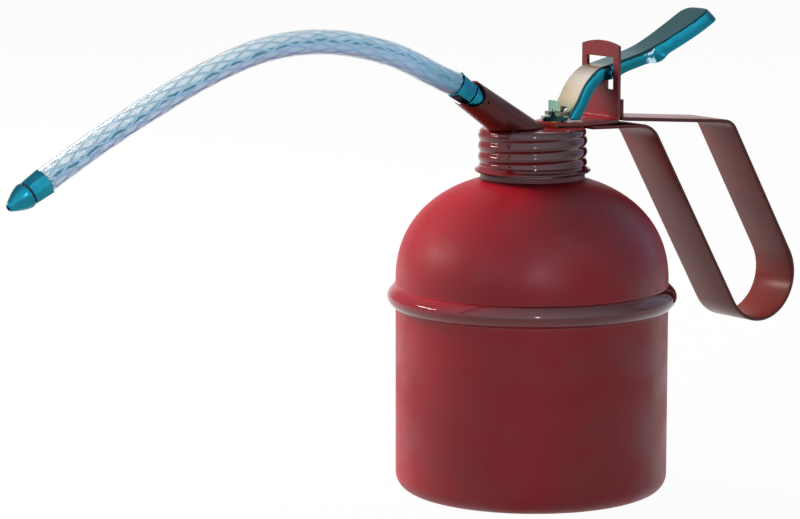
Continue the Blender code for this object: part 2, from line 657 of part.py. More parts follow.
def flange_section(reach, room, pin_reach):
    """The fold and the flange as (outward, down) points from the web's edge."""
    splay = SPLAY * eased(reach, SPLAY_START, SPLAY_END)
    depth = FLANGE_DEPTH + (PAD_FLANGE - FLANGE_DEPTH) * eased(reach, SPLAY_START, SPLAY_END)
    depth += PIVOT_LUG * np.exp(-((reach - pin_reach) / (4 * MM)) ** 2)
    depth += KINK_DROP * np.exp(-((reach - KINK_REACH) / (2 * KINK_DROP)) ** 2)
    depth = min(depth, room)
    turn = pi / 2 - splay
    section = [(FOLD_RADIUS * sin(b), FOLD_RADIUS * (1 - cos(b))) for b in (0, turn / 2, turn)]
    out, down = section[-1]
    left = max(depth - FOLD_RADIUS, 0.2 * MM)
    section.append((out + left * sin(splay), down + left * cos(splay)))
    return section


def build_lever(finish):
    """Pressed channel: ears and forked nose, lugs at the pin, splayed thumb pad."""
    line = smooth_route([Vector(point) for point in lever_route()], LEVER_SHEET)
    reach = np.concatenate([[0], np.cumsum(np.linalg.norm(np.diff(line, axis=0), axis=1))])
    tangent = np.gradient(line, reach, axis=0)
    pin_reach = np.interp(0.0, line[:, 0], reach)
    floor = FOOT_Z + GAP + 0.1 * MM - PIVOT_Z
    shape = bmesh.new()

    def run_at(along_web):
        return Vector([np.interp(along_web, reach, tangent[:, k]) for k in (0, 1)]).normalized()

    def on_web(along_web, y, down):
        run = run_at(along_web)
        x = np.interp(along_web, reach, line[:, 0]) + run.y * down
        z = np.interp(along_web, reach, line[:, 1]) - run.x * down
        return shape.verts.new((x, y, z))

    tine_z = TINE_Z - PIVOT_Z
    rows = lever_rows(reach[-1], np.interp(tine_z + FORK_DEPTH, line[:, 1], reach))
    # the web's four inner columns, as shares of its flat half width
    flat = LEVER_WIDTH / 2 - FOLD_RADIUS
    near = (ROD_RADIUS + GAP + 0.05 * MM) / flat
    far_share = near + TINE_WIDTH / flat
    columns = (-far_share, -near, near, far_share)
    sides = {-1: [], 1: []}
    middle = []
    inner_corner = PAD_CORNER - FOLD_RADIUS
    for far, half, angle in rows:
        room = (np.interp(far, reach, line[:, 1]) - floor) / run_at(far).x
        section = flange_section(far, room, pin_reach)
        for side in (-1, 1):
            ring = []
            for out, down in section:
                if angle:
                    radius = inner_corner + out
                    ring.append(on_web(far + radius * sin(angle),
                                       side * (half - PAD_CORNER + radius * cos(angle)), down))
                else:
                    ring.append(on_web(far, side * (half - FOLD_RADIUS + out), down))
            sides[side].append(ring)
        level = half - PAD_CORNER + inner_corner * cos(angle) if angle else half - FOLD_RADIUS
        middle.append([on_web(far + inner_corner * sin(angle), share * level, 0.0) for share in columns])
    for side in (-1, 1):
        for ring, after in zip(sides[side], sides[side][1:]):
            for k in range(len(ring) - 1):
                shape.faces.new((ring[k], ring[k + 1], after[k + 1], after[k]))
    for row in range(NOSE_ROWS, len(rows) - 1):
        here = [sides[-1][row][0], *middle[row], sides[1][row][0]]
        after = [sides[-1][row + 1][0], *middle[row + 1], sides[1][row + 1][0]]
        for k in range(5):
            shape.faces.new((here[k], after[k], after[k + 1], here[k + 1]))
    # the pad's end is folded down like the sides
    previous = [sides[-1][-1][0], *middle[-1], sides[1][-1][0]]
    for index in range(1, len(section)):
        out, down = section[index]
        place = rows[-1][0] + inner_corner + out
        after = [sides[-1][-1][index], *[on_web(place, share * level, down) for share in columns],
                 sides[1][-1][index]]
        for k in range(5):
            shape.faces.new((previous[k], after[k], after[k + 1], previous[k + 1]))
        previous = after
    # fork: a strip each side of the rod turns forward under its head plate
    tip_x = PUMP_X - HEAD_SHEET / 2 - TINE_PROUD - PIVOT_X
    root = middle[NOSE_ROWS][0].co
    bend = [(0.42, 0.62), (0.9, 0.93), (1.45, 1.0)]
    path = [(root.x - out * FORK_DEPTH, root.z - down * FORK_DEPTH) for out, down in bend]
    for pair in (slice(0, 2), slice(2, 4)):
        previous = middle[NOSE_ROWS][pair]
        levels = [vert.co.y for vert in previous]
        for x, z in [*path, (tip_x, tine_z)]:
            after = [shape.verts.new((x, y, z)) for y in levels]
            shape.faces.new((after[0], previous[0], previous[1], after[1]))
            previous = after
    unused = [vert for vert in shape.verts if not vert.link_faces]
    bmesh.ops.delete(shape, geom=unused, context="VERTS")
    bmesh.ops.recalc_face_normals(shape, faces=shape.faces)
    mesh = bpy.data.meshes.new("lever")
    shape.to_mesh(mesh)
    shape.free()
    made = bpy.data.objects.new("lever", mesh)
    PIECES.objects.link(made)
    paint(mesh, "lever", finish)
    made.location = (PIVOT_X, 0, PIVOT_Z)
    if sum(polygon.normal.z * polygon.area for polygon in mesh.polygons) < 0:
        mesh.flip_normals()
    thicken(made, LEVER_SHEET, -1.0)
    hole = rod_cutter("pin_hole", (0, -LEVER_WIDTH, 0), (0, LEVER_WIDTH, 0), PIN_RADIUS + GAP, 16)
    hole.location = (PIVOT_X, 0, PIVOT_Z)
    apply_boolean(made, hole, "DIFFERENCE")


def build_pivot_pin(finish):
    """Straight pin through the lever's lugs, lying in the bracket's cradle."""
    half = WINDOW_WIDTH / 2 - GAP - 0.1 * MM
    made = rod_shape("pivot_pin", (0, -half, 0), (0, half, 0), PIN_RADIUS, 16)
    PIECES.objects.link(made)
    paint(made.data, "pivot_pin", finish)
    made.location = (PIVOT_X, 0, PIVOT_Z)


def build_spout_socket(finish):
    """Tapered sheet socket, cut level with the cap, with a fish-mouth end."""
    slope = (SOCKET_MOUTH_RADIUS - SOCKET_BASE_RADIUS) / SOCKET_LENGTH
    low = -SOCKET_LENGTH - 2 * SOCKET_BASE_RADIUS
    high = LOWER_LIP
    top_radius = SOCKET_MOUTH_RADIUS + slope * high
    low_radius = SOCKET_MOUTH_RADIUS + slope * low
    profile = [(top_radius, high), (low_radius, low), (low_radius - SOCKET_SHEET, low),
               (top_radius - SOCKET_SHEET, high)]
    made = turned("spout_socket", profile, finish, SMALL_STEPS, along(MOUTH, SPOUT_DIRECTION), closed=True)
    reach = 3 * SOCKET_LENGTH
    apply_boolean(made, box_cutter("cap_level", (-reach, -reach, CAP_TOP_Z - reach),
                                   (reach, reach, CAP_TOP_Z + GAP)), "DIFFERENCE")
    # the end is cut aslant, so that the lower lip reaches further
    slant = atan2(LOWER_LIP - MOUTH_LIP, 2 * SOCKET_MOUTH_RADIUS)
    trim = box_cutter("mouth_trim", (-reach, -reach, 0), (reach, reach, reach))
    middle = MOUTH + SPOUT_DIRECTION * (MOUTH_LIP + LOWER_LIP) / 2
    trim.matrix_world = along(middle, SPOUT_DIRECTION) @ Matrix.Rotation(-slant, 4, "Y")
    apply_boolean(made, trim, "DIFFERENCE")
    centre = MOUTH + SPOUT_DIRECTION * (MOUTH_SCOOP - 0.1 * MM)
    side = Vector((0, 2 * SOCKET_MOUTH_RADIUS, 0))
    apply_boolean(made, rod_cutter("mouth_cut", centre - side, centre + side, MOUTH_SCOOP, 32), "DIFFERENCE")
    stake = MOUTH - SPOUT_DIRECTION * 4 * STAKE_RADIUS
    apply_boolean(made, rod_cutter("stake_hole", stake - side, stake + side, STAKE_RADIUS, 10), "DIFFERENCE")


def build_hose_union(finish):
    """Plated ring that centres the stem in the socket's mouth."""
    outer = SOCKET_MOUTH_RADIUS - SOCKET_SHEET - GAP
    bevel = 0.3 * MM
    bore = STEM_RADIUS + GAP
    profile = [(outer - bevel, UNION_PROUD), (outer, UNION_PROUD - bevel), (outer, UNION_PROUD - UNION_LENGTH),
               (bore, UNION_PROUD - UNION_LENGTH), (bore, UNION_PROUD)]
    turned("hose_union", profile, finish, SMALL_STEPS, along(MOUTH, SPOUT_DIRECTION), closed=True)


def hose_points():
    """Centre line of the hose from ferrule to ferrule, and the radius at each point."""
    start = MOUTH + SPOUT_DIRECTION * (UNION_PROUD + 2 * GAP)
    knots = [start + SPOUT_DIRECTION * share * FERRULE_LENGTH for share in (0, 0.5, 1)]
    knots += [MOUTH + Vector((-along_x * HOSE_SPAN, 0, up * HOSE_CREST)) for along_x, up in HOSE_ROUTE]
    fine = smooth_route(knots, HOSE_RADIUS / 4)
    reach = np.concatenate([[0], np.cumsum(np.linalg.norm(np.diff(fine, axis=0), axis=1))])
    grip = FERRULE_LENGTH + GAP
    free = reach[-1] - 2 * (grip + HOSE_SWELL)
    inner = np.linspace(0, free, int(round(free / HOSE_RADIUS)) + 1) + grip + HOSE_SWELL
    stops = np.concatenate([[0, grip], inner, [reach[-1] - grip, reach[-1]]])
    line = np.column_stack([np.interp(stops, reach, fine[:, k]) for k in range(3)])
    radii = [HOSE_CRIMPED] * 2 + [HOSE_RADIUS] * len(inner) + [HOSE_CRIMPED] * 2
    return line, radii


def build_hose(clear, plated):
    """Braided hose, its stem, the two crimped ferrules and the nozzle."""
    line, radii = hose_points()
    mesh = tube_mesh("spout_hose", [Vector(p) for p in line], radii, 12, False)
    paint(mesh, "spout_hose", clear)
    hose = bpy.data.objects.new("spout_hose", mesh)
    PIECES.objects.link(hose)
    thicken(hose, HOSE_CRIMPED - HOSE_BORE, -1.0)
    stem_end = Vector(line[0]) + SPOUT_DIRECTION * STEM_REACH
    tube("hose_stem", [SPOUT_ROOT - SPOUT_DIRECTION * STEM_FOOT, MOUTH, stem_end], STEM_RADIUS, plated, STEM_BORE)
    # crimped ferrules: eight flats, narrower away from the hose
    inner = (HOSE_CRIMPED + GAP) / cos(pi / 8)
    outer = inner + FERRULE_WALL
    neck = -0.5 * GAP
    rear = [(outer, FERRULE_LENGTH), (outer - FERRULE_TAPER, neck), (inner - FERRULE_TAPER, neck),
            (inner, 4 * GAP), (inner, FERRULE_LENGTH)]
    turned("rear_ferrule", rear, plated, 8, along(Vector(line[0]), SPOUT_DIRECTION), closed=True)
    end = Vector(line[-1])
    forward = (Vector(line[-1]) - Vector(line[-2])).normalized()
    tip = [(outer - FERRULE_TAPER, -neck), (outer, -FERRULE_LENGTH), (inner, -FERRULE_LENGTH),
           (inner, -4 * GAP), (inner - FERRULE_TAPER, -neck)]
    turned("tip_ferrule", tip, plated, 8, along(end, forward), closed=True)
    base = NOZZLE_NECK + 0.5 * MM
    nozzle = [(NOZZLE_TIP, base + NOZZLE_LENGTH)]
    for share in np.linspace(0.25, 1.0, 4):
        nozzle.append((NOZZLE_TIP + (NOZZLE_RADIUS - NOZZLE_TIP) * (share + sin(share * pi / 2)) / 2,
                       base + NOZZLE_LENGTH * (1 - share)))
    groove = NOZZLE_RADIUS - 1.1 * MM
    stem = HOSE_BORE - GAP
    nozzle += [(NOZZLE_RADIUS, NOZZLE_NECK), (groove, NOZZLE_NECK - GAP), (groove, 2 * GAP), (stem, 2 * GAP),
               (stem, -STEM_REACH), (NOZZLE_BORE, -STEM_REACH), (NOZZLE_BORE, base + NOZZLE_LENGTH)]
    turned("nozzle_tip", nozzle, plated, SMALL_STEPS, along(end, forward), closed=True)


def pump_place(z=0.0):
    return Matrix.Translation((PUMP_X, 0, z))


def build_pump(brass, steel, rubber, spring_steel):
    """Barrel, gland, plunger, foot valve and suction side, all on the pump's axis."""
    bore = BARREL_RADIUS - BARREL_WALL
    rod_hole = ROD_RADIUS + GAP
    stub_top = NUT_TOP_Z - NUT_ROOF - GAP
    box_floor = BARREL_TOP_Z - 0.3 * MM
    head_under = BARREL_TOP_Z - BARREL_HEAD
    barrel = [(STUB_RADIUS, stub_top), (STUB_RADIUS, BARREL_TOP_Z), (BARREL_RADIUS, BARREL_TOP_Z),
              (BARREL_RADIUS, BARREL_BOTTOM_Z), (bore, BARREL_BOTTOM_Z), (bore, head_under),
              (rod_hole, head_under), (rod_hole, box_floor), (STUFFING_RADIUS, box_floor),
              (STUFFING_RADIUS, stub_top)]
    body = turned("pump_barrel", barrel, brass, SMALL_STEPS, pump_place(), closed=True)
    port_z = BARREL_TOP_Z - PORT_DROP
    apply_boolean(body, rod_cutter("outlet_port", (PUMP_X, 0, port_z), (PUMP_X - 2 * BARREL_RADIUS, 0, port_z),
                                   STEM_BORE, 12), "DIFFERENCE")
    packing = [(STUFFING_RADIUS - GAP, stub_top - 0.4 * MM), (STUFFING_RADIUS - GAP, box_floor + GAP),
               (rod_hole, box_floor + GAP), (rod_hole, stub_top - 0.4 * MM)]
    turned("gland_packing", packing, rubber, SMALL_STEPS, pump_place(), closed=True)
    build_gland_nut(steel, rod_hole)
    build_plunger(steel, brass, rubber, bore)
    build_spring(spring_steel, head_under)
    build_delivery_pipe(brass, port_z)
    build_foot_valve(brass, steel)
    build_suction(brass, steel)


def build_gland_nut(finish, rod_hole):
    """Low hexagon nut that closes the stuffing box, flats facing the lever's ears."""
    corner = NUT_FLATS / 2 / cos(pi / 6)
    mesh = bpy.data.meshes.new("gland_nut")
    shape = bmesh.new()
    bmesh.ops.create_cone(shape, cap_ends=True, segments=6, radius1=corner, radius2=corner, depth=NUT_HEIGHT)
    shape.to_mesh(mesh)
    shape.free()
    paint(mesh, "gland_nut", finish)
    nut = bpy.data.objects.new("gland_nut", mesh)
    PIECES.objects.link(nut)
    nut.location = (PUMP_X, 0, (NUT_BOTTOM_Z + NUT_TOP_Z) / 2)
    nut.rotation_euler = (0, 0, radians(hex_turn(mesh)))
    below = Vector((PUMP_X, 0, NUT_BOTTOM_Z - 0.001))
    thread_top = Vector((PUMP_X, 0, NUT_TOP_Z - NUT_ROOF))
    above = Vector((PUMP_X, 0, NUT_TOP_Z + 0.001))
    apply_boolean(nut, rod_cutter("nut_thread", below, thread_top, STUB_RADIUS + GAP), "DIFFERENCE")
    apply_boolean(nut, rod_cutter("nut_bore", below, above, rod_hole), "DIFFERENCE")


def hex_turn(mesh):
    """Degrees that bring a corner of the hexagon onto the X axis."""
    corner = mesh.vertices[0].co
    return -np.degrees(atan2(corner.y, corner.x))


def build_plunger(steel, brass, rubber, bore):
    """Rod with a flat head plate; piston and cup seal at its foot."""
    rod_top = HEAD_FOOT_Z + HEAD_HEIGHT / 4
    rod_foot = PISTON_TOP_Z - PISTON_LENGTH + PISTON_FLOOR + GAP
    rod = rod_shape("plunger_rod", (0, 0, rod_foot), (0, 0, rod_top), ROD_RADIUS, 16)
    PIECES.objects.link(rod)
    paint(rod.data, "plunger_rod", steel)
    rod.location = (PUMP_X, 0, 0)
    low_x = PUMP_X - HEAD_SHEET / 2
    head = box_cutter("rod_head", (low_x, -HEAD_WIDTH / 2, HEAD_FOOT_Z),
                      (low_x + HEAD_SHEET, HEAD_WIDTH / 2, HEAD_FOOT_Z + HEAD_HEIGHT))
    apply_boolean(rod, head, "UNION")
    radius = bore - 2 * GAP
    low = PISTON_TOP_Z - PISTON_LENGTH
    hole = ROD_RADIUS + GAP
    piston = [(0, low + PISTON_FLOOR), (hole, low + PISTON_FLOOR), (hole, PISTON_TOP_Z),
              (radius, PISTON_TOP_Z), (radius, low), (0, low)]
    turned("piston", piston, brass, SMALL_STEPS, pump_place())
    cup_top = low - GAP
    lip = bore - GAP
    cup = [(0, cup_top), (lip, cup_top), (lip, cup_top - CUP_LENGTH), (lip - 0.9 * MM, cup_top - CUP_LENGTH),
           (lip - 1.3 * MM, cup_top - 0.9 * MM), (0, cup_top - 0.9 * MM)]
    turned("piston_cup", cup, rubber, SMALL_STEPS, pump_place())


def build_spring(finish, head_under):
    """Open coil between the barrel's head and the piston, ends closed level."""
    low = PISTON_TOP_Z + GAP + SPRING_WIRE
    high = head_under - GAP - SPRING_WIRE
    per_turn = 10
    total = SPRING_TURNS * per_turn
    points = []
    for step in range(total + 1):
        turn = 2 * pi * step / per_turn
        height = low + (high - low) * step / total
        points.append(Vector((PUMP_X + SPRING_RADIUS * cos(turn), SPRING_RADIUS * sin(turn), height)))
    mesh = tube_mesh("return_spring", points, [SPRING_WIRE] * len(points), 8, True)
    paint(mesh, "return_spring", finish)
    PIECES.objects.link(bpy.data.objects.new("return_spring", mesh))


def build_delivery_pipe(finish, port_z):
    """Short pipe from the barrel's outlet up to the foot of the hose stem."""
    foot = SPOUT_ROOT - SPOUT_DIRECTION * (STEM_FOOT + GAP)
    drop = foot.z - port_z
    knee_x = foot.x + drop / np.tan(SOCKET_RISE)
    start_x = PUMP_X - BARREL_RADIUS - GAP
    path = filleted([(start_x, port_z), (knee_x, port_z), (foot.x, foot.z)], [PIPE_BEND])
    tube("delivery_pipe", [Vector((x, 0, z)) for x, z in path], STEM_RADIUS, finish, STEM_BORE)


def build_foot_valve(brass, steel):
    """Valve body with a conical seat, its ball and the cross pin that stops it."""
    spigot = BARREL_RADIUS - BARREL_WALL - GAP
    cavity = BALL_RADIUS + 2.5 * GAP
    spigot_top = VALVE_TOP_Z + VALVE_SPIGOT
    grip = TUBE_RADIUS + GAP
    grip_top = VALVE_BOTTOM_Z + TUBE_GRIP
    seat_z = grip_top + 1.0 * MM
    cone_top = seat_z + (cavity - TUBE_BORE)
    profile = [(spigot, spigot_top), (spigot, VALVE_TOP_Z), (BARREL_RADIUS, VALVE_TOP_Z),
               (BARREL_RADIUS, grip_top), (BARREL_RADIUS - 1.5 * MM, VALVE_BOTTOM_Z), (grip, VALVE_BOTTOM_Z),
               (grip, grip_top), (TUBE_BORE, grip_top), (TUBE_BORE, seat_z), (cavity, cone_top),
               (cavity, spigot_top)]
    turned("foot_valve", profile, brass, SMALL_STEPS, pump_place(), closed=True)
    # the ball rests on the 45 degree seat, one gap off it
    ball_z = seat_z - TUBE_BORE + (BALL_RADIUS + GAP) * sqrt(2)
    mesh = bpy.data.meshes.new("inlet_ball")
    shape = bmesh.new()
    bmesh.ops.create_uvsphere(shape, u_segments=16, v_segments=10, radius=BALL_RADIUS)
    shape.to_mesh(mesh)
    shape.free()
    paint(mesh, "inlet_ball", steel)
    ball = bpy.data.objects.new("inlet_ball", mesh)
    PIECES.objects.link(ball)
    ball.location = (PUMP_X, 0, ball_z)
    pin_radius = 0.5 * MM
    pin_z = ball_z + BALL_RADIUS + BALL_LIFT + pin_radius + GAP
    half = cavity - GAP
    stop = rod_shape("ball_stop", (0, -half, 0), (0, half, 0), pin_radius, 8)
    PIECES.objects.link(stop)
    paint(stop.data, "ball_stop", steel)
    stop.location = (PUMP_X, 0, pin_z)


def build_suction(brass, steel):
    """Suction tube down to the base, with a slotted strainer on its end."""
    top = VALVE_BOTTOM_Z + TUBE_GRIP - GAP
    floor = CAN_SHEET + STRAINER_FLOOR_GAP
    tube_foot = floor + 2.5 * MM
    tube("suction_tube", [Vector((PUMP_X, 0, z)) for z in (top, (top + tube_foot) / 2, tube_foot)],
         TUBE_RADIUS, brass, TUBE_BORE)
    wall = 0.5 * MM
    grip = TUBE_RADIUS + GAP
    high = floor + STRAINER_LENGTH
    profile = [(0, floor + wall), (STRAINER_RADIUS - wall, floor + wall),
               (STRAINER_RADIUS - wall, high - 3.0 * MM - wall), (grip, high - 2.0 * MM - wall), (grip, high),
               (grip + wall, high), (grip + wall, high - 2.0 * MM), (STRAINER_RADIUS, high - 3.0 * MM),
               (STRAINER_RADIUS, floor), (0, floor)]
    made = turned("strainer", profile, steel, 20, pump_place())
    for index in range(2):
        angle = index * pi / 2 + 0.1
        arm = Vector((cos(angle), sin(angle), 0)) * 2 * STRAINER_RADIUS
        middle = Vector((PUMP_X, 0, (floor + high - 3.0 * MM) / 2))
        apply_boolean(made, rod_cutter("strainer_hole", middle - arm, middle + arm, 1.2 * MM, 10), "DIFFERENCE")


for leftover in list(bpy.data.objects):
    bpy.data.objects.remove(leftover, do_unlink=True)

PIECES = new_collection("oil_can")
CUTTERS = new_collection("cutters")

RED = ((0.42, 0.012, 0.016), 0.22, 0.0, 1.0)
DARK_RED = ((0.2, 0.02, 0.018), 0.3, 0.0, 1.0)
PLATED = ((0.09, 0.42, 0.48), 0.22, 1.0, 1.0)
CLEAR = ((0.55, 0.72, 0.82), 0.3, 0.0, 0.7)
BRASS = ((0.62, 0.42, 0.13), 0.35, 1.0, 1.0)
STEEL = ((0.45, 0.45, 0.43), 0.35, 1.0, 1.0)
RUBBER = ((0.02, 0.02, 0.02), 0.7, 0.0, 1.0)

build_lower_cup(RED)
build_dome_top(RED)
build_threaded_neck(STEEL)
build_cap_gasket(RUBBER)
build_screw_cap(RED)
build_lever_bracket(DARK_RED)
build_handle_strap(DARK_RED)
build_lever(PLATED)
build_pivot_pin(PLATED)
build_spout_socket(DARK_RED)
build_hose_union(PLATED)
build_hose(CLEAR, PLATED)
build_pump(BRASS, PLATED, RUBBER, STEEL)

for piece in PIECES.objects:
    piece.data.shade_smooth()
    piece.data.set_sharp_from_angle(angle=radians(35.0))
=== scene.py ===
"""Looks of the pump oil can: enamelled body and head, blue plated lever, clear braided hose."""
from math import atan2, cos, pi, radians, sin, sqrt

import bmesh
import bpy
import numpy as np
from mathutils import Matrix, Vector


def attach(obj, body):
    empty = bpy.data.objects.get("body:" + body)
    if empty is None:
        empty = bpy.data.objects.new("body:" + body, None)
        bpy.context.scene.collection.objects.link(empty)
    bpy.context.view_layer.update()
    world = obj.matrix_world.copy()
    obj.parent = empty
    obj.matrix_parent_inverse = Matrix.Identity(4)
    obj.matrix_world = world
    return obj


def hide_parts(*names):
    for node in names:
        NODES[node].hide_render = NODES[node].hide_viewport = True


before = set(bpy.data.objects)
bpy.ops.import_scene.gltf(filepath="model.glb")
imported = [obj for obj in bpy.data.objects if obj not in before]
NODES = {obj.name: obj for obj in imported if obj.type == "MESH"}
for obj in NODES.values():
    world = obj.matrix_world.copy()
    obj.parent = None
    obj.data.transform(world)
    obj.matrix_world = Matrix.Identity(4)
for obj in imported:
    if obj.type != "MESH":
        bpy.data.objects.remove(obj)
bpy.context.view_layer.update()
MM = 0.001

# All sizes below are in millimetres, the same as the solids have, and heights are above the
# table. LEVER_ROUTE starts from the pivot. The rows of HOSE_ROUTE are shares of the hose's span
# and crest, and those of TINE_BENDS are shares of the fork's depth. SKIRT_SPAN is what the skirt
# attribute reaches at the rim.
SHEET_GAP = 0.3
CAN_RADIUS = 45.0
CAN_SHEET = 0.6
BASE_CORNER = 5.5
BEAD_TOP = 68.1
BEAD_HEIGHT = 6.6
BEAD_PROUD = 2.8
BEAD_START, BEAD_SPAN, BEAD_POWER = 0.06, 0.86, 0.8
RIM_DEPTH, RIM_ROUND = 1.5, 0.15
DOME_FOOT = 69.8
DOME_RISE = 35.6
DOME_POWER = 2.23
COLLAR_RADIUS = 17.2
COLLAR_FOOT = 103.47
COLLAR_TOP = 105.47
COLLAR_FILLET, SEAM_BLEND = 0.5, 0.2
THREAD_PITCH = 3.6
THREAD_WAVE = 0.38
THREAD_FADE = 0.6
VALLEY = 0.03
CAP_RADIUS = 17.6
CAP_SHEET = 0.5
CAP_BOTTOM = 105.77
CAP_TOP = 120.37
CAP_SHOULDER = 1.5
LIP_HEIGHT = 2.2
LIP = [(0.35, 1.75), (0.85, 1.35), (1.3, 1.1), (1.52, 0.9), (1.55, 0.7), (1.35, 0.36)]
NECK_RADIUS = 16.65
NECK_TOP = 118.17
NECK_CURL, NECK_ROUND, NECK_RISE, NECK_SKIRT = 1.2, 0.4, 0.6, 2.0
FOOT_TOP = 121.87
BRACKET_FRONT = 28.6
STRAP_WIDTH = 18.6
STRAP_SHEET = 1.2
LOOP_X, LOOP_DROP, LOOP_RADIUS = 94.8, 59.1, 15.0
LOWER_BEND_X, LOWER_BEND_DROP, LOWER_BEND = 44.1, 1.1, 9.0
UPPER_BEND_X, UPPER_BEND_DROP, UPPER_BEND = 80.1, 4.3, 6.0
TAB_RISE, TAB_SINK, TAB_BEND = 6.4, 0.1, 1.6
PIVOT_X, PIVOT_Z = 29.2, 136.866
LEVER_SHEET = 1.2
LEVER_WIDTH = 11.2
PAD_WIDTH = 13.7
PAD_CORNER = 4.6
PAD_START, PAD_END = 43.0, 66.0
SPLAY_START, SPLAY_END = 43.8, 46.8
SPLAY = radians(32.0)
KINK_REACH, KINK_DROP = 44.2, 1.3
FLANGE_DEPTH, PAD_FLANGE, PIVOT_LUG = 4.1, 4.9, 0.8
FOLD_RADIUS = 1.25
TINE_NEAR, TINE_WIDTH, TINE_TIP = 1.6, 2.3, 8.2
TINE_Z, FORK_DEPTH = 124.87, 1.5
TINE_BENDS = [(0.0, 0.0), (0.2, 0.36), (0.42, 0.62), (0.9, 0.93), (1.45, 1.0)]
LEVER_CLEAR, LEAST_FLANGE = 0.1, 0.2
LUG_SPREAD = 4.0
GLINT_BACK, GLINT_SPREAD = 2.0, 3.6
SKIRT_SPAN = 1.6
LEVER_ROUTE = [(-18.0, -13.5), (-14.6, -8.6), (-10.8, -2.8), (-5.6, 1.5), (0.0, 2.9), (13.8, 6.1),
               (22.5, 9.2), (32.8, 14.0), (41.6, 18.6), (45.5, 19.9)]
PIN_RADIUS, PIN_HALF, PIN_ROUND = 1.1, 6.3, 0.25
SOCKET_RISE = radians(33.0)
SOCKET_LENGTH = 19.9
SOCKET_BASE_RADIUS = 5.95
SOCKET_MOUTH_RADIUS = 5.15
SOCKET_SHEET = 0.75
UPPER_LIP, LOWER_LIP = 3.2, 5.6
SCOOP_RADIUS = 4.45
SCOOP_BACK = 0.1
STAKE_RADIUS, STAKE_HALF = 0.4, 7.0
HOSE_RADIUS = 4.0
HOSE_BORE = 2.3
HOSE_CRIMPED = 3.45
LINER_RADIUS, LINER_CRIMPED = 3.5, 2.95
BRAID_ROOM = 0.3
YARNS = 8
YARN_LEAD = 74.0
YARN_WIDTH, YARN_THICKNESS = 0.72, 0.1
YARN_LIFT, YARN_CLEAR = 0.05, 0.04
FERRULE_LENGTH = 6.0
FERRULE_TAPER = 0.45
FERRULE_WALL = 0.5
FERRULE_BACK, FERRULE_STEP = 0.15, 1.2
CRIMP_REACH, CRIMP_RUN = 0.45, 1.1
UNION_PROUD = 3.2
UNION_LENGTH = 7.3
UNION_BORE = 2.1
NOZZLE_RADIUS, NOZZLE_LENGTH = 4.05, 6.4
NOZZLE_NECK, NOZZLE_TIP = 1.2, 1.1
NOZZLE_BORE, NOZZLE_STEM, NOZZLE_LAND = 0.7, 5.5, 0.5
TIP_CHAMFER, TIP_ROUND = 0.1, 0.15
GROOVE_DEPTH, GROOVE_FOOT, GROOVE_RISE = 0.7, 0.6, 0.3
HOSE_SPAN = 167.1
HOSE_CREST = 21.8
HOSE_ROUTE = [(0.0846, 0.355), (0.2045, 0.76), (0.344, 0.99), (0.481, 0.965), (0.6135, 0.684),
              (0.743, 0.262), (0.871, -0.216), (1.0, -0.77)]
SPOUT = np.array([-cos(SOCKET_RISE), 0.0, sin(SOCKET_RISE)])
SPOUT_ROOT = np.array([-7.3, 0.0, CAP_TOP])
MOUTH = SPOUT_ROOT + SPOUT * SOCKET_LENGTH
ROUND = 160

# camera at the photograph's place, in metres and in pixels of the photograph
AZIMUTH, ELEVATION = radians(-37.0), radians(9.0)
FOCUS_PIXELS, FRAME_PIXELS, DISTANCE = 3336.0, 800.0, 1.1
AIM_HEIGHT, AIM_LEFT_PIXELS = 0.0765, 132.0
SENSOR = 36.0


def place_camera():
    """Looks along the photograph's direction, aimed left of the can so that the spout fits."""
    away = Vector((sin(AZIMUTH) * cos(ELEVATION), -cos(AZIMUTH) * cos(ELEVATION), sin(ELEVATION)))
    right = Vector((cos(AZIMUTH), sin(AZIMUTH), 0.0))
    up = away.cross(right)
    aim = Vector((0.0, 0.0, AIM_HEIGHT)) - right * (AIM_LEFT_PIXELS / FOCUS_PIXELS * DISTANCE)
    lens = bpy.data.cameras.new("photo_camera")
    lens.sensor_width = SENSOR
    lens.lens = SENSOR * FOCUS_PIXELS / FRAME_PIXELS
    camera = bpy.data.objects.new("photo_camera", lens)
    turn = Matrix((right, up, away)).transposed().to_4x4()
    camera.matrix_world = Matrix.Translation(aim + away * DISTANCE) @ turn
    bpy.context.scene.collection.objects.link(camera)
    bpy.context.scene.camera = camera
    return away, right, up


# materials

def linear(code):
    """sRGB hex text to linear red, green, blue and alpha."""
    parts = [int(code[i:i + 2], 16) / 255 for i in (0, 2, 4)]
    return [c / 12.92 if c <= 0.04045 else ((c + 0.055) / 1.055) ** 2.4 for c in parts] + [1.0]


def plug(tree, node, inputs):
    """Links or sets a node's inputs, from a dict, or from a list in the order of its sockets."""
    for socket, value in inputs.items() if isinstance(inputs, dict) else enumerate(inputs):
        if isinstance(value, bpy.types.NodeSocket):
            tree.links.new(value, node.inputs[socket])
        else:
            node.inputs[socket].default_value = value


def add(tree, kind, inputs=(), out=0, stops=(), **settings):
    """Adds a node with its settings, inputs and (position, hex) colour stops, and gives back
    one of its outputs. A MapRange takes its value, from low, from high, to low, to high."""
    made = tree.nodes.new("ShaderNode" + kind)
    for key, value in settings.items():
        setattr(made, key, value)
    plug(tree, made, inputs)
    for _ in stops[2:]:
        made.color_ramp.elements.new(0.5)
    for k, (position, code) in enumerate(stops):
        made.color_ramp.elements[k].position = position
        made.color_ramp.elements[k].color = linear(code)
    return made.outputs[out]


def begin(name, sockets):
    """A new material: its tree, its shader with plain values set, and the place on the piece."""
    made = bpy.data.materials.new(name)
    made.use_nodes = True
    tree = made.node_tree
    shader = tree.nodes["Principled BSDF"]
    plug(tree, shader, sockets)
    return made, tree, shader, add(tree, "TexCoord", out="Object")


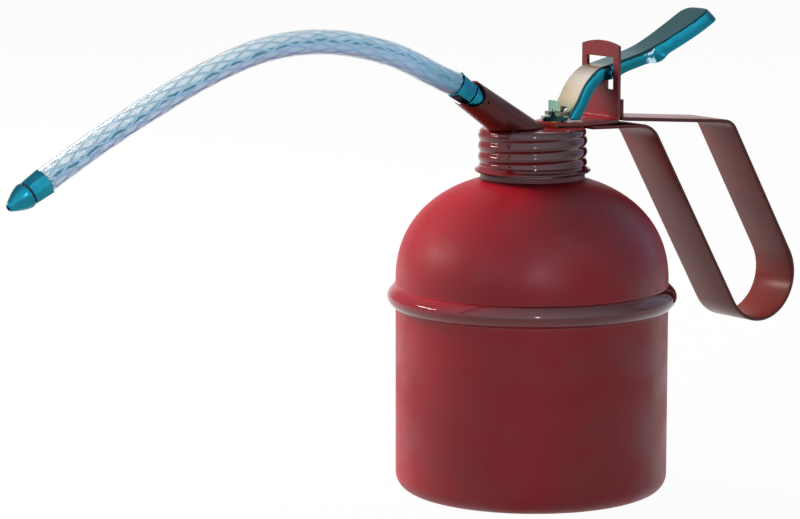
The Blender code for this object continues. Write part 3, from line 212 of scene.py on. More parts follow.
def stoved_enamel(name, light, deep, satin, rubbed=None, index=1.52, lip_shade_height=None):
    """Stoved alkyd enamel on steel: a glossy film with faint orange peel, and slow drifts of tone where
    it is thicker. A band of heights where hands and benches rub it is glossier, and above a given
    height it is darkened to a dark red-brown: painted shade on the collar under the cap's lip."""
    made, tree, shader, place = begin(name, {"IOR": index})
    drift = add(tree, "TexNoise", {"Vector": place, "Scale": 1 / (42 * MM), "Detail": 2.0})
    colour = add(tree, "ValToRGB", [drift], stops=[(0.3, deep), (0.7, light)])
    wear = add(tree, "TexNoise", {"Vector": place, "Scale": 1 / (12 * MM), "Detail": 3.0})
    rough = add(tree, "MapRange", [wear, 0.35, 0.7, 0.85 * satin, 1.15 * satin])
    height = add(tree, "SeparateXYZ", [place], "Z")
    if rubbed:
        low, high = rubbed
        half = (high - low) / 2
        away = add(tree, "Math", [height, (low + high) / 2 * MM], operation="SUBTRACT")
        away = add(tree, "Math", [away], operation="ABSOLUTE")
        share = add(tree, "MapRange", [away, half * MM, (half + 1) * MM, 0.2, 1.0])
        rough = add(tree, "Math", [rough, share], operation="MULTIPLY")
    if lip_shade_height:
        # painted shade: the collar under the cap's lip turns dark red-brown
        lip_shade = add(tree, "MapRange", [height, (lip_shade_height - 0.5) * MM, (lip_shade_height + 0.3) * MM, 0.0, 0.85])
        colour = add(tree, "Mix", {0: lip_shade, 6: colour, 7: linear("2c1012")}, 2, data_type="RGBA")
    peel = add(tree, "TexNoise", {"Vector": place, "Scale": 1 / (1.4 * MM), "Detail": 1.0})
    bump = add(tree, "Bump", {"Height": peel, "Strength": 0.1, "Distance": 0.03 * MM})
    plug(tree, shader, {"Base Color": colour, "Roughness": rough, "Normal": bump})
    return made


def blue_zinc(name, light, deep, roughness=0.16, grain=0.9, dark_below=None):
    """Bright zinc plate with a blue passivation: a metal whose tint drifts from cyan to deep teal with
    the film's thickness, over fine drawing lines. Below a given height it is darkened to a dark teal."""
    made, tree, shader, place = begin(name, {"Metallic": 0.85})
    drift = add(tree, "TexNoise", {"Vector": place, "Scale": 1 / (7 * MM), "Detail": 2.0})
    colour = add(tree, "ValToRGB", [drift], stops=[(0.34, deep), (0.66, light)])
    if dark_below:
        # below the given height the plate turns dark teal
        height = add(tree, "SeparateXYZ", [place], "Z")
        above_share = add(tree, "MapRange", [height, (dark_below - 0.3) * MM, (dark_below + 0.3) * MM])
        colour = add(tree, "Mix", {0: above_share, 6: linear("0e3034"), 7: colour}, 2, data_type="RGBA")
    lines = add(tree, "TexNoise", {"Vector": place, "Scale": 1 / (grain * MM), "Detail": 1.0})
    rough = add(tree, "MapRange", [lines, 0.3, 0.7, 0.8 * roughness, 1.3 * roughness])
    plug(tree, shader, {"Base Color": colour, "Roughness": rough})
    return made


def lever_plate():
    """The same plate on the lever. The upper face runs from straw and near-white at the nose to
    grey-green on the pad. This is partly the film's straw tint and partly a painted reflection, and the
    nose is whiter still along its near edge as a painted highlight. The skirt attribute runs down the
    folded sides: a painted dark reflection in the fold, a painted cyan highlight band below it and teal
    at the rim. The glint attribute marks the kink, where pale patches are painted highlights."""
    made, tree, shader, place = begin("lever_blue_zinc", {})
    along = add(tree, "MapRange", [add(tree, "SeparateXYZ", [place], "X"), 12 * MM, 76 * MM])
    # painted reflection: straw to near-white on the nose, partly the film's straw tint, then grey-green
    # on the pad
    web = add(tree, "ValToRGB", [along], stops=[
        (0.0, "98a88c"), (0.05, "f6ecd0"), (0.13, "fffaf0"), (0.2, "b4ac94"), (0.26, "7a948c"),
        (0.34, "3f7c80"), (1.0, "387478")])
    across = add(tree, "SeparateXYZ", [place], "Y")
    across = add(tree, "MapRange", [across, -2.4 * MM, 5.0 * MM, 0.0, 0.7])
    # painted highlight: the nose's near edge is whiter
    straw_and_highlight = add(tree, "Mix", {0: across, 6: linear("ffffff"), 7: linear("d8cfb0")}, 2,
                data_type="RGBA")
    nose = add(tree, "MapRange", [along, 0.1, 0.3, 1.0, 0.0])
    web = add(tree, "Mix", {0: nose, 6: web, 7: straw_and_highlight}, 2, data_type="RGBA", blend_type="MULTIPLY")

    skirt = add(tree, "Attribute", out="Fac", attribute_name="skirt")
    fold = add(tree, "MapRange", [skirt, 0.06, 0.2])
    drift = add(tree, "TexNoise", {"Vector": place, "Scale": 1 / (5 * MM), "Detail": 2.0})
    stray = add(tree, "MapRange", [drift, 0.3, 0.7, -0.14, 0.14])
    down = add(tree, "Math", [skirt, stray], operation="ADD")
    down = add(tree, "Math", [down, 2.0], operation="DIVIDE")
    # painted light down the sides: a painted dark reflection in the fold, a painted cyan highlight band
    # below, teal at the rim
    side = add(tree, "ValToRGB", [down], stops=[
        (0.0, "0a4048"), (0.29, "0a4048"), (0.37, "1092a8"), (0.5, "0c7e92"), (0.64, "066274"),
        (0.8, "086a7c")])
    # painted highlights: pale patches on the sides at the kink stand in for glints
    glint = add(tree, "Attribute", out="Fac", attribute_name="glint")
    painted_glint = add(tree, "TexNoise", {"Vector": place, "Scale": 1 / (2.4 * MM), "Detail": 1.0})
    painted_glint = add(tree, "Math", [painted_glint, glint], operation="MULTIPLY")
    painted_glint = add(tree, "MapRange", [painted_glint, 0.4, 0.45])
    glint_bands = add(tree, "ValToRGB", [down], stops=[
        (0.3, "000000"), (0.35, "ffffff"), (0.43, "ffffff"), (0.48, "000000"), (0.56, "000000"),
        (0.62, "ffffff"), (0.8, "ffffff")])
    painted_glint = add(tree, "Math", [painted_glint, glint_bands], operation="MULTIPLY")
    side = add(tree, "Mix", {0: painted_glint, 6: side, 7: linear("c4ecf8")}, 2, data_type="RGBA")
    colour = add(tree, "Mix", {0: fold, 6: web, 7: side}, 2, data_type="RGBA")

    grain = add(tree, "TexNoise", {"Vector": place, "Scale": 1 / (3 * MM), "Detail": 2.0})
    rough = add(tree, "MapRange", [grain, 0.3, 0.7, 0.13, 0.22])
    # the nose's upper face is nearly non-metallic, so that its painted reflection shows
    upper = add(tree, "Math", [1.0, fold], operation="SUBTRACT")
    nose_top = add(tree, "Math", [nose, upper], operation="MULTIPLY")
    metal = add(tree, "MapRange", [nose_top, 0.0, 1.0, 0.85, 0.1])
    plug(tree, shader, {"Base Color": colour, "Roughness": rough, "Metallic": metal})
    return made


def turned_metal(name, light, deep, roughness, groove, metallic=1.0):
    """Machined bar, or a rubber or wire part: tone drifts slowly, with lines a groove apart."""
    made, tree, shader, place = begin(name, {"Metallic": metallic, "Roughness": roughness})
    drift = add(tree, "TexNoise", {"Vector": place, "Scale": 1 / (6 * MM), "Detail": 2.0})
    colour = add(tree, "ValToRGB", [drift], stops=[(0.3, deep), (0.7, light)])
    lines = add(tree, "TexWave", {"Vector": place, "Scale": 1 / (20 * groove * MM)}, "Fac",
                bands_direction="Z")
    bump = add(tree, "Bump", {"Height": lines, "Strength": 0.15, "Distance": 0.05 * MM})
    plug(tree, shader, {"Base Color": colour, "Normal": bump})
    return made


def clear_vinyl():
    """Plasticised PVC, extruded: clear with a cold blue cast and a soft waxy gloss."""
    made, tree, shader, place = begin("clear_vinyl", {
        "IOR": 1.3, "Transmission Weight": 1.0, "Base Color": linear("f3fafd")})
    cloud = add(tree, "TexNoise", {"Vector": place, "Scale": 1 / (5 * MM), "Detail": 2.0})
    rough = add(tree, "MapRange", [cloud, 0.3, 0.7, 0.04, 0.12])
    plug(tree, shader, {"Roughness": rough})
    return made


def hose_layer(name, stops, near_union, roughness, sheen=0.0):
    """A layer inside the hose. Its tint follows the side of the hose (the upward attribute), as painted
    light: lighter towards the top, with painted highlights. The half of the hose next to the union is
    bluer, and its last 20 mm there are a deep blue-green."""
    made, tree, shader, place = begin(name, {
        "Roughness": roughness, "IOR": 1.5, "Sheen Weight": sheen})
    cloud = add(tree, "TexNoise", {"Vector": place, "Scale": 1 / (8 * MM), "Detail": 3.0})
    stray = add(tree, "MapRange", [cloud, 0.2, 0.8, -0.12, 0.12])
    # painted light: the tint follows how far up the hose's side a point is
    level = add(tree, "Attribute", out="Fac", attribute_name="upward")
    level = add(tree, "MapRange", [level, -1.0, 1.0])
    level = add(tree, "Math", [level, stray], operation="ADD")
    colour = add(tree, "ValToRGB", [level], stops=stops)
    along = add(tree, "SeparateXYZ", [place], "X")
    union_half = add(tree, "MapRange", [along, -125 * MM, -45 * MM, 0.0, 0.5])
    colour = add(tree, "Mix", {0: union_half, 6: colour, 7: linear(near_union)}, 2, data_type="RGBA")
    union_end = add(tree, "MapRange", [along, -52 * MM, -32 * MM, 0.0, 0.8])
    colour = add(tree, "Mix", {0: union_end, 6: colour, 7: linear("2f92ac")}, 2, data_type="RGBA")
    plug(tree, shader, {"Base Color": colour})
    return made


# shapes

def as_object(name, verts, faces, material, smooth=35.0, outward=True, **attributes):
    """A surface from points in millimetres: doubles merged, and a closed one turned outwards.
    Each attribute is one number a point, for the material."""
    mesh = bpy.data.meshes.new(name)
    mesh.from_pydata((np.asarray(verts, float).reshape(-1, 3) * MM).tolist(), [], faces.tolist())
    for key, values in attributes.items():
        made = mesh.attributes.new(key, "FLOAT", "POINT")
        made.data.foreach_set("value", np.ravel(values).astype(np.float32))
    return settle(name, mesh, material, smooth, outward)


def settle(name, mesh, material, smooth, outward=True):
    """Merges doubles, turns a closed surface outwards and shades it smooth up to an angle."""
    shape = bmesh.new()
    shape.from_mesh(mesh)
    bmesh.ops.remove_doubles(shape, verts=shape.verts, dist=0.0005 * MM)
    if outward and shape.calc_volume(signed=True) < 0:
        bmesh.ops.reverse_faces(shape, faces=shape.faces)
    shape.to_mesh(mesh)
    shape.free()
    mesh.shade_smooth()
    mesh.set_sharp_from_angle(angle=radians(smooth))
    mesh.materials.clear()
    mesh.materials.append(material)
    made = bpy.data.objects.new(name, mesh)
    bpy.context.scene.collection.objects.link(made)
    return made


def quads(rows, columns, close_rows, close_columns):
    """Corner numbers of the faces of a grid, which may close on itself either way."""
    down = np.arange(rows if close_rows else rows - 1)
    across = np.arange(columns if close_columns else columns - 1)
    i, j = np.meshgrid(down, across, indexing="ij")
    i, j = i.ravel(), j.ravel()
    i_next, j_next = (i + 1) % rows, (j + 1) % columns
    return np.column_stack([i * columns + j, i * columns + j_next, i_next * columns + j_next,
                            i_next * columns + j])


def rounded(corners, radii, count=4):
    """A polyline whose inner corners are arcs: each arc is tangent to both of its legs."""
    corners = np.asarray(corners, float)
    points = [corners[:1]]
    for before, corner, after, radius in zip(corners, corners[1:], corners[2:], radii):
        into, out = before - corner, after - corner
        into, out = into / np.linalg.norm(into), out / np.linalg.norm(out)
        half = np.arccos(np.clip(into @ out, -1, 1)) / 2
        if radius <= 0 or pi / 2 - half < 0.01:
            points.append(corner[None])
            continue
        middle = corner + (into + out) / np.linalg.norm(into + out) * radius / sin(half)
        first = corner + into * radius / np.tan(half) - middle
        last = corner + out * radius / np.tan(half) - middle
        start = atan2(first[1], first[0])
        sweep = (atan2(last[1], last[0]) - start + pi) % (2 * pi) - pi
        turn = start + sweep * np.linspace(0, 1, count + 1)
        points.append(middle + radius * np.column_stack([np.cos(turn), np.sin(turn)]))
    points.append(corners[-1:])
    return np.concatenate(points)


def turned(name, profile, material, steps=ROUND, origin=None, axis=None, start=0.0, smooth=35.0):
    """A closed profile of (radius, height) turned about an axis: each point keeps its radius and
    height while its angle runs once round."""
    profile = np.asarray(profile, float)
    angle = start + np.linspace(0, 2 * pi, steps, endpoint=False)
    radius, height = profile[:, :1], profile[:, 1:]
    points = np.stack([radius * np.cos(angle), radius * np.sin(angle),
                       height + 0 * angle], axis=-1)
    if axis is not None:
        basis = np.array(Vector((0, 0, 1)).rotation_difference(Vector(axis)).to_matrix())
        points = points @ basis.T + np.asarray(origin)
    return as_object(name, points, quads(len(profile), steps, True, True), material, smooth)


def ridge(phase):
    """Rounded crests with narrow valleys: twice the softened size of the half angle's cosine."""
    softened = np.sqrt(np.cos(phase / 2) ** 2 + VALLEY)
    return 2 * softened / sqrt(1 + VALLEY) - 1


def threaded(name, rows, wall, material):
    """A turned shell whose radius also follows a right-hand helix: the wave's phase is the
    height in pitches less the angle, and each row says how much of the wave it takes."""
    rows = np.asarray(rows, float)
    angle = np.linspace(0, 2 * pi, ROUND, endpoint=False)
    phase = 2 * pi * (rows[:, 1:2] - CAP_BOTTOM) / THREAD_PITCH - angle
    swell = THREAD_WAVE * rows[:, 2:3] * ridge(phase)
    outer = rows[:, :1] + swell
    slope = np.gradient(rows[:, :2], axis=0)
    slope /= np.linalg.norm(slope, axis=1, keepdims=True)
    inward = np.column_stack([slope[:, 1], -slope[:, 0]]) * wall
    inner = np.maximum(outer + inward[:, :1], 0.0)
    sheets = []
    back = (rows[:, 1:2] + inward[:, 1:])[::-1]
    for radius, height in ((outer, rows[:, 1:2]), (inner[::-1], back)):
        sheets.append(np.stack([radius * np.cos(angle), radius * np.sin(angle),
                                height + 0 * angle], axis=-1))
    points = np.concatenate(sheets)
    return as_object(name, points, quads(len(points), ROUND, True, True), material)


def smooth_line(knots, spacing):
    """Catmull-Rom curve through the knots: each span is the cubic that leaves a knot along the
    line between its neighbours. It is read at even steps."""
    knots = np.asarray(knots, float)
    padded = np.concatenate([2 * knots[:1] - knots[1:2], knots, 2 * knots[-1:] - knots[-2:-1]])
    t = np.linspace(0, 1, 24, endpoint=False)[None, :, None]
    a, b, c, d = (padded[k:len(padded) - 3 + k, None] for k in range(4))
    dense = 0.5 * (2 * b + (c - a) * t + (2 * a - 5 * b + 4 * c - d) * t ** 2
                   + (3 * b - a - 3 * c + d) * t ** 3)
    dense = np.concatenate([dense.reshape(-1, knots.shape[1]), knots[-1:]])
    reach = np.concatenate([[0], np.cumsum(np.linalg.norm(np.diff(dense, axis=0), axis=1))])
    stops = np.linspace(0, reach[-1], int(round(reach[-1] / spacing)) + 1)
    line = np.column_stack([np.interp(stops, reach, column) for column in dense.T])
    return line, stops


def hose_line():
    """The hose's centre line from ferrule to ferrule at half millimetre steps, and its reach."""
    start = MOUTH + SPOUT * (UNION_PROUD + 2 * SHEET_GAP)
    knots = [start + SPOUT * share * FERRULE_LENGTH for share in (0, 0.5, 1)]
    knots += [MOUTH + np.array([-along * HOSE_SPAN, 0, up * HOSE_CREST]) for along, up in HOSE_ROUTE]
    return smooth_line(knots, 0.5)


def hose_frame(line):
    """Tangent and upward normal at each point of a line in the XZ plane."""
    tangent = np.gradient(line, axis=0)
    tangent /= np.linalg.norm(tangent, axis=1, keepdims=True)
    return tangent, np.column_stack([tangent[:, 2], 0 * tangent[:, 0], -tangent[:, 0]])


def round_tube(name, line, outer, inner, material, steps=48):
    """A wall between two radii carried along a line: a ring of the line's normal and Y turned
    through its angle, outer surface forward and inner surface back."""
    _, normal = hose_frame(line)
    angle = np.linspace(0, 2 * pi, steps, endpoint=False)
    side = np.array([0.0, 1.0, 0.0])
    ring = (np.cos(angle)[None, :, None] * normal[:, None, :]
            + np.sin(angle)[None, :, None] * side[None, None, :])
    outside = line[:, None, :] + np.broadcast_to(outer, len(line))[:, None, None] * ring
    inside = line[:, None, :] + np.broadcast_to(inner, len(line))[:, None, None] * ring
    points = np.concatenate([outside, inside[::-1]])
    upward = np.broadcast_to(np.cos(angle), points.shape[:2])
    return as_object(name, points, quads(len(points), steps, True, True), material, 50.0,
                     upward=upward)


def braid(name, line, reach, radii, material):
    """Yarns laid on the liner: strand k of each hand runs at an angle of reach over lead, and
    its height above the liner swings once per crossing, so that the two hands pass over and
    under each other. Each yarn is a flat lens: wide across and thin upward."""
    tangent, normal = hose_frame(line)
    side = np.array([0.0, 1.0, 0.0])
    section = np.array([(-0.5, 0.0), (-0.3, 0.75), (0.0, 1.0), (0.3, 0.75), (0.5, 0.0), (0.0, -0.4)])
    verts, faces, upward = [], [], []
    for hand in (-1, 1):
        for k in range(YARNS):
            turn = hand * 2 * pi * reach / YARN_LEAD + 2 * pi * k / YARNS
            phase = 2 * pi * YARNS * reach / YARN_LEAD + (0 if hand > 0 else pi) + pi * k
            lift = YARN_LIFT * np.cos(phase)
            out = np.cos(turn)[:, None] * normal + np.sin(turn)[:, None] * side
            around = -np.sin(turn)[:, None] * normal + np.cos(turn)[:, None] * side
            across = around - (hand * 2 * pi * radii / YARN_LEAD)[:, None] * tangent
            across /= np.linalg.norm(across, axis=1, keepdims=True)
            middle = line + (radii + lift)[:, None] * out
            points = (middle[:, None, :] + section[None, :, :1] * YARN_WIDTH * across[:, None, :]
                      + section[None, :, 1:] * YARN_THICKNESS * out[:, None, :])
            faces.append(quads(len(line), len(section), False, True)
                         + len(verts) * points[:, :, 0].size)
            verts.append(points.reshape(-1, 3))
            upward.append(np.repeat(np.cos(turn), len(section)))
    made = as_object(name, np.concatenate(verts), np.concatenate(faces), material, 80.0, False,
                     upward=np.concatenate(upward))
    close_ends(made.data)
    return made


def close_ends(mesh):
    """Fills each open end with one face, and turns the closed surface outwards."""
    shape = bmesh.new()
    shape.from_mesh(mesh)
    bmesh.ops.holes_fill(shape, edges=[edge for edge in shape.edges if edge.is_boundary], sides=64)
    bmesh.ops.recalc_face_normals(shape, faces=shape.faces)
    shape.to_mesh(mesh)
    shape.free()


def strip(name, path, width, sheet, material, round_edge=0.35):
    """A flat bar along a path in the XZ plane: its section is a rectangle with round corners,
    set on the path's normal and on Y."""
    path = np.asarray(path, float)
    tangent = np.gradient(path, axis=0)
    tangent /= np.linalg.norm(tangent, axis=1, keepdims=True)
    normal = np.column_stack([-tangent[:, 1], tangent[:, 0]])
    half_w, half_s = width / 2, sheet / 2
    corners = [(-half_w, 0), (-half_w, half_s), (half_w, half_s), (half_w, -half_s),
               (-half_w, -half_s), (-half_w, 0)]
    section = rounded(corners, [round_edge] * 4, 3)[:-1]
    x = path[:, None, 0] + section[None, :, 1] * normal[:, None, 0]
    z = path[:, None, 1] + section[None, :, 1] * normal[:, None, 1]
    points = np.stack([x, section[None, :, 0] + 0 * x, z], axis=-1)
    made = as_object(name, points, quads(len(path), len(section), False, True), material, 40.0, False)
    close_ends(made.data)
    return made


def bevel(piece, width, angle):
    """Rounds the edges that are sharper than an angle in degrees."""
    edge = piece.modifiers.new("Edge", "BEVEL")
    edge.width, edge.segments, edge.limit_method = width * MM, 2, "ANGLE"
    edge.angle_limit = radians(angle)


def softened(node, name, material, width, smooth=35.0):
    """A merged copy of a node whose edges get a small bevel."""
    mesh = NODES[node].data.copy()
    mesh.name = name
    shape = bmesh.new()
    shape.from_mesh(mesh)
    bmesh.ops.remove_doubles(shape, verts=shape.verts, dist=0.002 * MM)
    bmesh.ops.dissolve_limit(shape, angle_limit=radians(1.0), verts=shape.verts, edges=shape.edges)
    shape.to_mesh(mesh)
    shape.free()
    made = settle(name, mesh, material, smooth)
    bevel(made, width, smooth)
    return made


def dress(piece, body, slot, *nodes):
    """Rides the piece on its body and hides the nodes that it stands for. Its slot is not used."""
    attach(piece, body)
    if nodes:
        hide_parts(*nodes)
    return piece


AWAY, RIGHT, UP = place_camera()
# above the collar's foot the body enamel gets painted shade from the cap's lip
RED = stoved_enamel("crimson_stoved_enamel", "ca1e30", "ae1626", 0.46,
                    (BEAD_TOP - BEAD_HEIGHT, BEAD_TOP), lip_shade_height=COLLAR_FOOT)
CAP_RED = stoved_enamel("rubbed_crimson_enamel", "a01020", "860c18", 0.08)
BRACKET_RED = stoved_enamel("brick_red_stoved_enamel", "b01820", "921218", 0.3)
BROWN = stoved_enamel("brown_red_stoved_enamel", "9c3a2c", "7e2a20", 0.3, index=1.38)
TEAL = blue_zinc("blue_passivated_zinc", "1c8a9c", "087088", 0.16)
# a darker blue zinc for the gland nut
DARK_TEAL = blue_zinc("dark_blue_zinc", "1a4a4e", "0c2a2e", 0.16)
YOKE = blue_zinc("pale_blue_zinc", "a9c6aa", "7ba79c", 0.2, dark_below=TINE_Z + 0.3)
LEVER_PLATE = lever_plate()
VINYL = clear_vinyl()
# painted light on the liner: white painted highlights along the top and the lower edge, a painted dark
# teal reflection band just above the middle, pale blue-lilac between for light through the hose
LINER = hose_layer("liner_vinyl", [
    (0.0, "f6f6fc"), (0.16, "e2e8f6"), (0.46, "cfdef2"), (0.53, "2a86a0"), (0.6, "2a8ca6"),
    (0.66, "d4ecf4"), (0.8, "ffffff")], "8cc4e4", 0.25)
# painted light on the yarns: lighter towards the top
YARN = hose_layer("polyester_yarn", [
    (0.0, "a4b0d4"), (0.4, "a8c6ea"), (0.6, "b4dcf0"), (0.8, "b4d0e2"), (1.0, "ccdfea")],
    "98c8ec", 0.4, 0.2)
NECK_ZINC = turned_metal("rolled_zinc_plate", "a9abad", "83868a", 0.3, 0.4)
BRASS = turned_metal("turned_brass", "d8b25c", "a67f35", 0.25, 0.25)
RUBBER = turned_metal("moulded_nitrile_rubber", "26262a", "17171a", 0.6, 0.6, 0.0)
WIRE = turned_metal("oiled_spring_steel", "9a9a96", "6c6c6a", 0.3, 0.3)


def dome_line(radius, rise, count):
    """Superellipse from the dome's foot to the collar: radius times cosine and rise times sine,
    each to the power of two over the dome's exponent."""
    last = np.arccos((COLLAR_RADIUS / CAN_RADIUS) ** (DOME_POWER / 2))
    turn = np.linspace(0, last, count)
    return np.column_stack([radius * np.cos(turn) ** (2 / DOME_POWER),
                            DOME_FOOT + rise * np.sin(turn) ** (2 / DOME_POWER)])


def bead_line(extra, count):
    """The seam's bead: proud of the wall by the sine of its share of the way down, to the
    bead's power. The extra is taken off for the inner side."""
    share = np.linspace(0, 1, count)
    proud = BEAD_PROUD * np.sin(pi * (BEAD_START + BEAD_SPAN * share)) ** BEAD_POWER
    return np.column_stack([CAN_RADIUS + proud - extra, BEAD_TOP - BEAD_HEIGHT * share])


def build_body():
    """Can: the drawn cup, and the dome whose foot is the hollow bead around the cup's rim."""
    inner = CAN_RADIUS - CAN_SHEET
    rim = BEAD_TOP - RIM_DEPTH
    corners = [(0, CAN_SHEET), (inner, CAN_SHEET), (inner, rim), (CAN_RADIUS, rim), (CAN_RADIUS, 0),
               (0, 0)]
    profile = rounded(corners, [BASE_CORNER - CAN_SHEET, RIM_ROUND, RIM_ROUND, BASE_CORNER], 12)
    dress(turned("can_cup", profile, RED), "can", "red_enamel", "lower_cup")
    outer = np.concatenate([[(COLLAR_RADIUS, COLLAR_TOP), (COLLAR_RADIUS, COLLAR_FOOT + COLLAR_FILLET)],
                            dome_line(CAN_RADIUS, DOME_RISE, 60)[::-1][1:],
                            [(CAN_RADIUS, BEAD_TOP + 2 * SEAM_BLEND)], bead_line(0, 28)])
    back = [(CAN_RADIUS + SHEET_GAP, BEAD_TOP - BEAD_HEIGHT)]
    hollow = bead_line(CAN_SHEET, 9)[::-1][1:-1]
    hollow[:, 0] = np.maximum(hollow[:, 0], CAN_RADIUS + SHEET_GAP)
    inner = np.concatenate([back, hollow, [(CAN_RADIUS - CAN_SHEET, BEAD_TOP + SEAM_BLEND)],
                            dome_line(CAN_RADIUS - CAN_SHEET, DOME_RISE - CAN_SHEET, 40)[:-1],
                            [(COLLAR_RADIUS - CAN_SHEET, COLLAR_FOOT - SEAM_BLEND),
                             (COLLAR_RADIUS - CAN_SHEET, COLLAR_TOP)]])
    dome = turned("can_dome", np.concatenate([outer, inner]), RED, smooth=45.0)
    dress(dome, "can", "red_enamel", "dome_top")


def eased(value, low, high):
    """0 below low, 1 above high, and a smooth step between."""
    share = np.clip((value - low) / (high - low), 0, 1)
    return share * share * (3 - 2 * share)


def thread_rows(radius, top, bottom):
    """Rows down a threaded wall, where the wave fades in and out over a short way at the ends."""
    height = np.linspace(top, bottom, int((top - bottom) / THREAD_PITCH * 14) + 1)
    fade = eased(np.minimum(top - height, height - bottom), 0, THREAD_FADE)
    return np.column_stack([radius + 0 * height, height, fade])


def build_head():
    """Screw cap with its lip, the neck that it screws on to, and the lever's bracket."""
    edge = [(0, CAP_TOP), (CAP_RADIUS, CAP_TOP), (CAP_RADIUS, CAP_TOP - 2)]
    top = rounded(edge, [CAP_SHOULDER], 8)[:-1]
    disc = np.column_stack([np.linspace(0, 0.9, 7)[:-1] * top[1, 0], np.full(6, CAP_TOP)])
    top = np.concatenate([disc, top[1:]])
    rows = np.concatenate([np.column_stack([top, 0 * top[:, 0]]),
                           thread_rows(CAP_RADIUS, CAP_TOP - CAP_SHOULDER, CAP_BOTTOM + LIP_HEIGHT)[1:],
                           [(CAP_RADIUS + out, CAP_BOTTOM + up, 0) for out, up in LIP]])
    dress(threaded("cap_shell", rows, CAP_SHEET, CAP_RED), "head", "red_enamel", "screw_cap")
    foot = COLLAR_RADIUS - CAN_SHEET - SHEET_GAP
    rows = np.concatenate([
        [(NECK_RADIUS - NECK_CURL, NECK_TOP, 0), (NECK_RADIUS - NECK_ROUND, NECK_TOP, 0)],
        thread_rows(NECK_RADIUS, NECK_TOP - NECK_ROUND, CAP_BOTTOM + NECK_RISE),
        [(foot, COLLAR_TOP - SHEET_GAP, 0), (foot, COLLAR_FOOT - NECK_SKIRT, 0)]])
    dress(threaded("neck_ring", rows, CAP_SHEET, NECK_ZINC), "can", "zinc_plate", "threaded_neck")
    bracket = softened("lever_bracket", "bracket", BRACKET_RED, 0.22)
    dress(bracket, "head", "brown_red_enamel", "lever_bracket")


def touch_point(outside, centre, radius, side):
    """Where a line from an outside point touches a circle, on the chosen side."""
    away = np.subtract(outside, centre)
    bearing = atan2(away[1], away[0]) + side * np.arccos(radius / np.linalg.norm(away))
    return (centre[0] + radius * cos(bearing), centre[1] + radius * sin(bearing))


def build_strap():
    """One bar from the cap by its lower bend round the loop, an arc between two tangent lines, to
    the upper bend and the tab behind the bracket."""
    lower_z = CAP_TOP - STRAP_SHEET / 2
    upper_z = FOOT_TOP - TAB_SINK
    centre = (LOOP_X, FOOT_TOP - LOOP_DROP)
    lower_bend = (LOWER_BEND_X, lower_z - LOWER_BEND_DROP)
    upper_bend = (UPPER_BEND_X, FOOT_TOP - UPPER_BEND_DROP)
    left = touch_point(lower_bend, centre, LOOP_RADIUS, 1)
    right = touch_point(upper_bend, centre, LOOP_RADIUS, -1)
    start = atan2(left[1] - centre[1], left[0] - centre[0])
    end = atan2(right[1] - centre[1], right[0] - centre[0])
    start -= 2 * pi if start > end else 0
    turn = np.linspace(start, end, 40)
    loop = np.column_stack([centre[0] + LOOP_RADIUS * np.cos(turn),
                            centre[1] + LOOP_RADIUS * np.sin(turn)])
    tab_x = BRACKET_FRONT + STRAP_SHEET + SHEET_GAP + STRAP_SHEET / 2
    lower = rounded([(CAP_RADIUS + THREAD_WAVE + SHEET_GAP, lower_z), lower_bend, left],
                    [LOWER_BEND], 14)
    upper = rounded([right, upper_bend, (tab_x, upper_z), (tab_x, FOOT_TOP + TAB_RISE)],
                    [UPPER_BEND, TAB_BEND], 10)
    path = np.concatenate([lower, loop[1:-1], upper])
    strap = strip("strap", path, STRAP_WIDTH, STRAP_SHEET, BROWN)
    dress(strap, "head", "brown_red_enamel", "handle_strap")


def build_socket():
    """A tapered sheet tube: angle runs round, and the share runs from the cap's plane to the
    fish-mouth edge, which is the nearer of a slanted plane and a round cut through both sides.
    A thin rod cuts the stake hole through both sides near the mouth."""
    steps, rows = 144, 40
    angle = np.linspace(0, 2 * pi, steps, endpoint=False)
    taper = (SOCKET_MOUTH_RADIUS - SOCKET_BASE_RADIUS) / SOCKET_LENGTH
    upward = np.array([sin(SOCKET_RISE), 0.0, cos(SOCKET_RISE)])
    lean = (LOWER_LIP - UPPER_LIP) / (2 * SOCKET_MOUTH_RADIUS)

    def edges(wall):
        """Where the tube starts and ends along its axis, for each angle."""
        radius = SOCKET_MOUTH_RADIUS - wall
        high = (UPPER_LIP + LOWER_LIP) / 2 - lean * radius * np.cos(angle)
        room = SCOOP_RADIUS ** 2 - (radius * np.cos(angle)) ** 2
        scoop = SCOOP_RADIUS - SCOOP_BACK - np.sqrt(np.maximum(room, 0))
        high = np.where(room > 0, np.minimum(high, scoop), high)
        low = -SOCKET_LENGTH * np.ones(steps)
        for _ in range(4):
            local = SOCKET_MOUTH_RADIUS + taper * low - wall
            low = (CAP_TOP + SHEET_GAP - MOUTH[2] - local * np.cos(angle) * upward[2]) / SPOUT[2]
        return low, high

    sheets = []
    for wall in (0.0, SOCKET_SHEET):
        low, high = edges(wall)
        far = low + (high - low) * np.linspace(0, 1, rows)[:, None]
        radius = SOCKET_MOUTH_RADIUS + taper * far - wall
        points = (MOUTH + far[..., None] * SPOUT + (radius * np.cos(angle))[..., None] * upward
                  + (radius * np.sin(angle))[..., None] * np.array([0.0, 1.0, 0.0]))
        sheets.append(points if wall == 0 else points[::-1])
    points = np.concatenate(sheets)
    made = as_object("spout_sleeve", points, quads(len(points), steps, True, True), BROWN, 40.0)
    rod = turned("stake_rod", [(0, STAKE_HALF), (STAKE_RADIUS, STAKE_HALF),
                                (STAKE_RADIUS, -STAKE_HALF), (0, -STAKE_HALF)], BROWN, 16,
                 MOUTH - SPOUT * 4 * STAKE_RADIUS, (0, 1, 0))
    hole = made.modifiers.new("Stake", "BOOLEAN")
    hole.operation, hole.object = "DIFFERENCE", rod
    evaluated = made.evaluated_get(bpy.context.evaluated_depsgraph_get())
    pierced = bpy.data.meshes.new_from_object(evaluated)
    made.modifiers.clear()
    made.data = pierced
    pierced.set_sharp_from_angle(angle=radians(40))
    bpy.data.objects.remove(rod)
    dress(made, "head", "brown_red_enamel", "spout_socket")


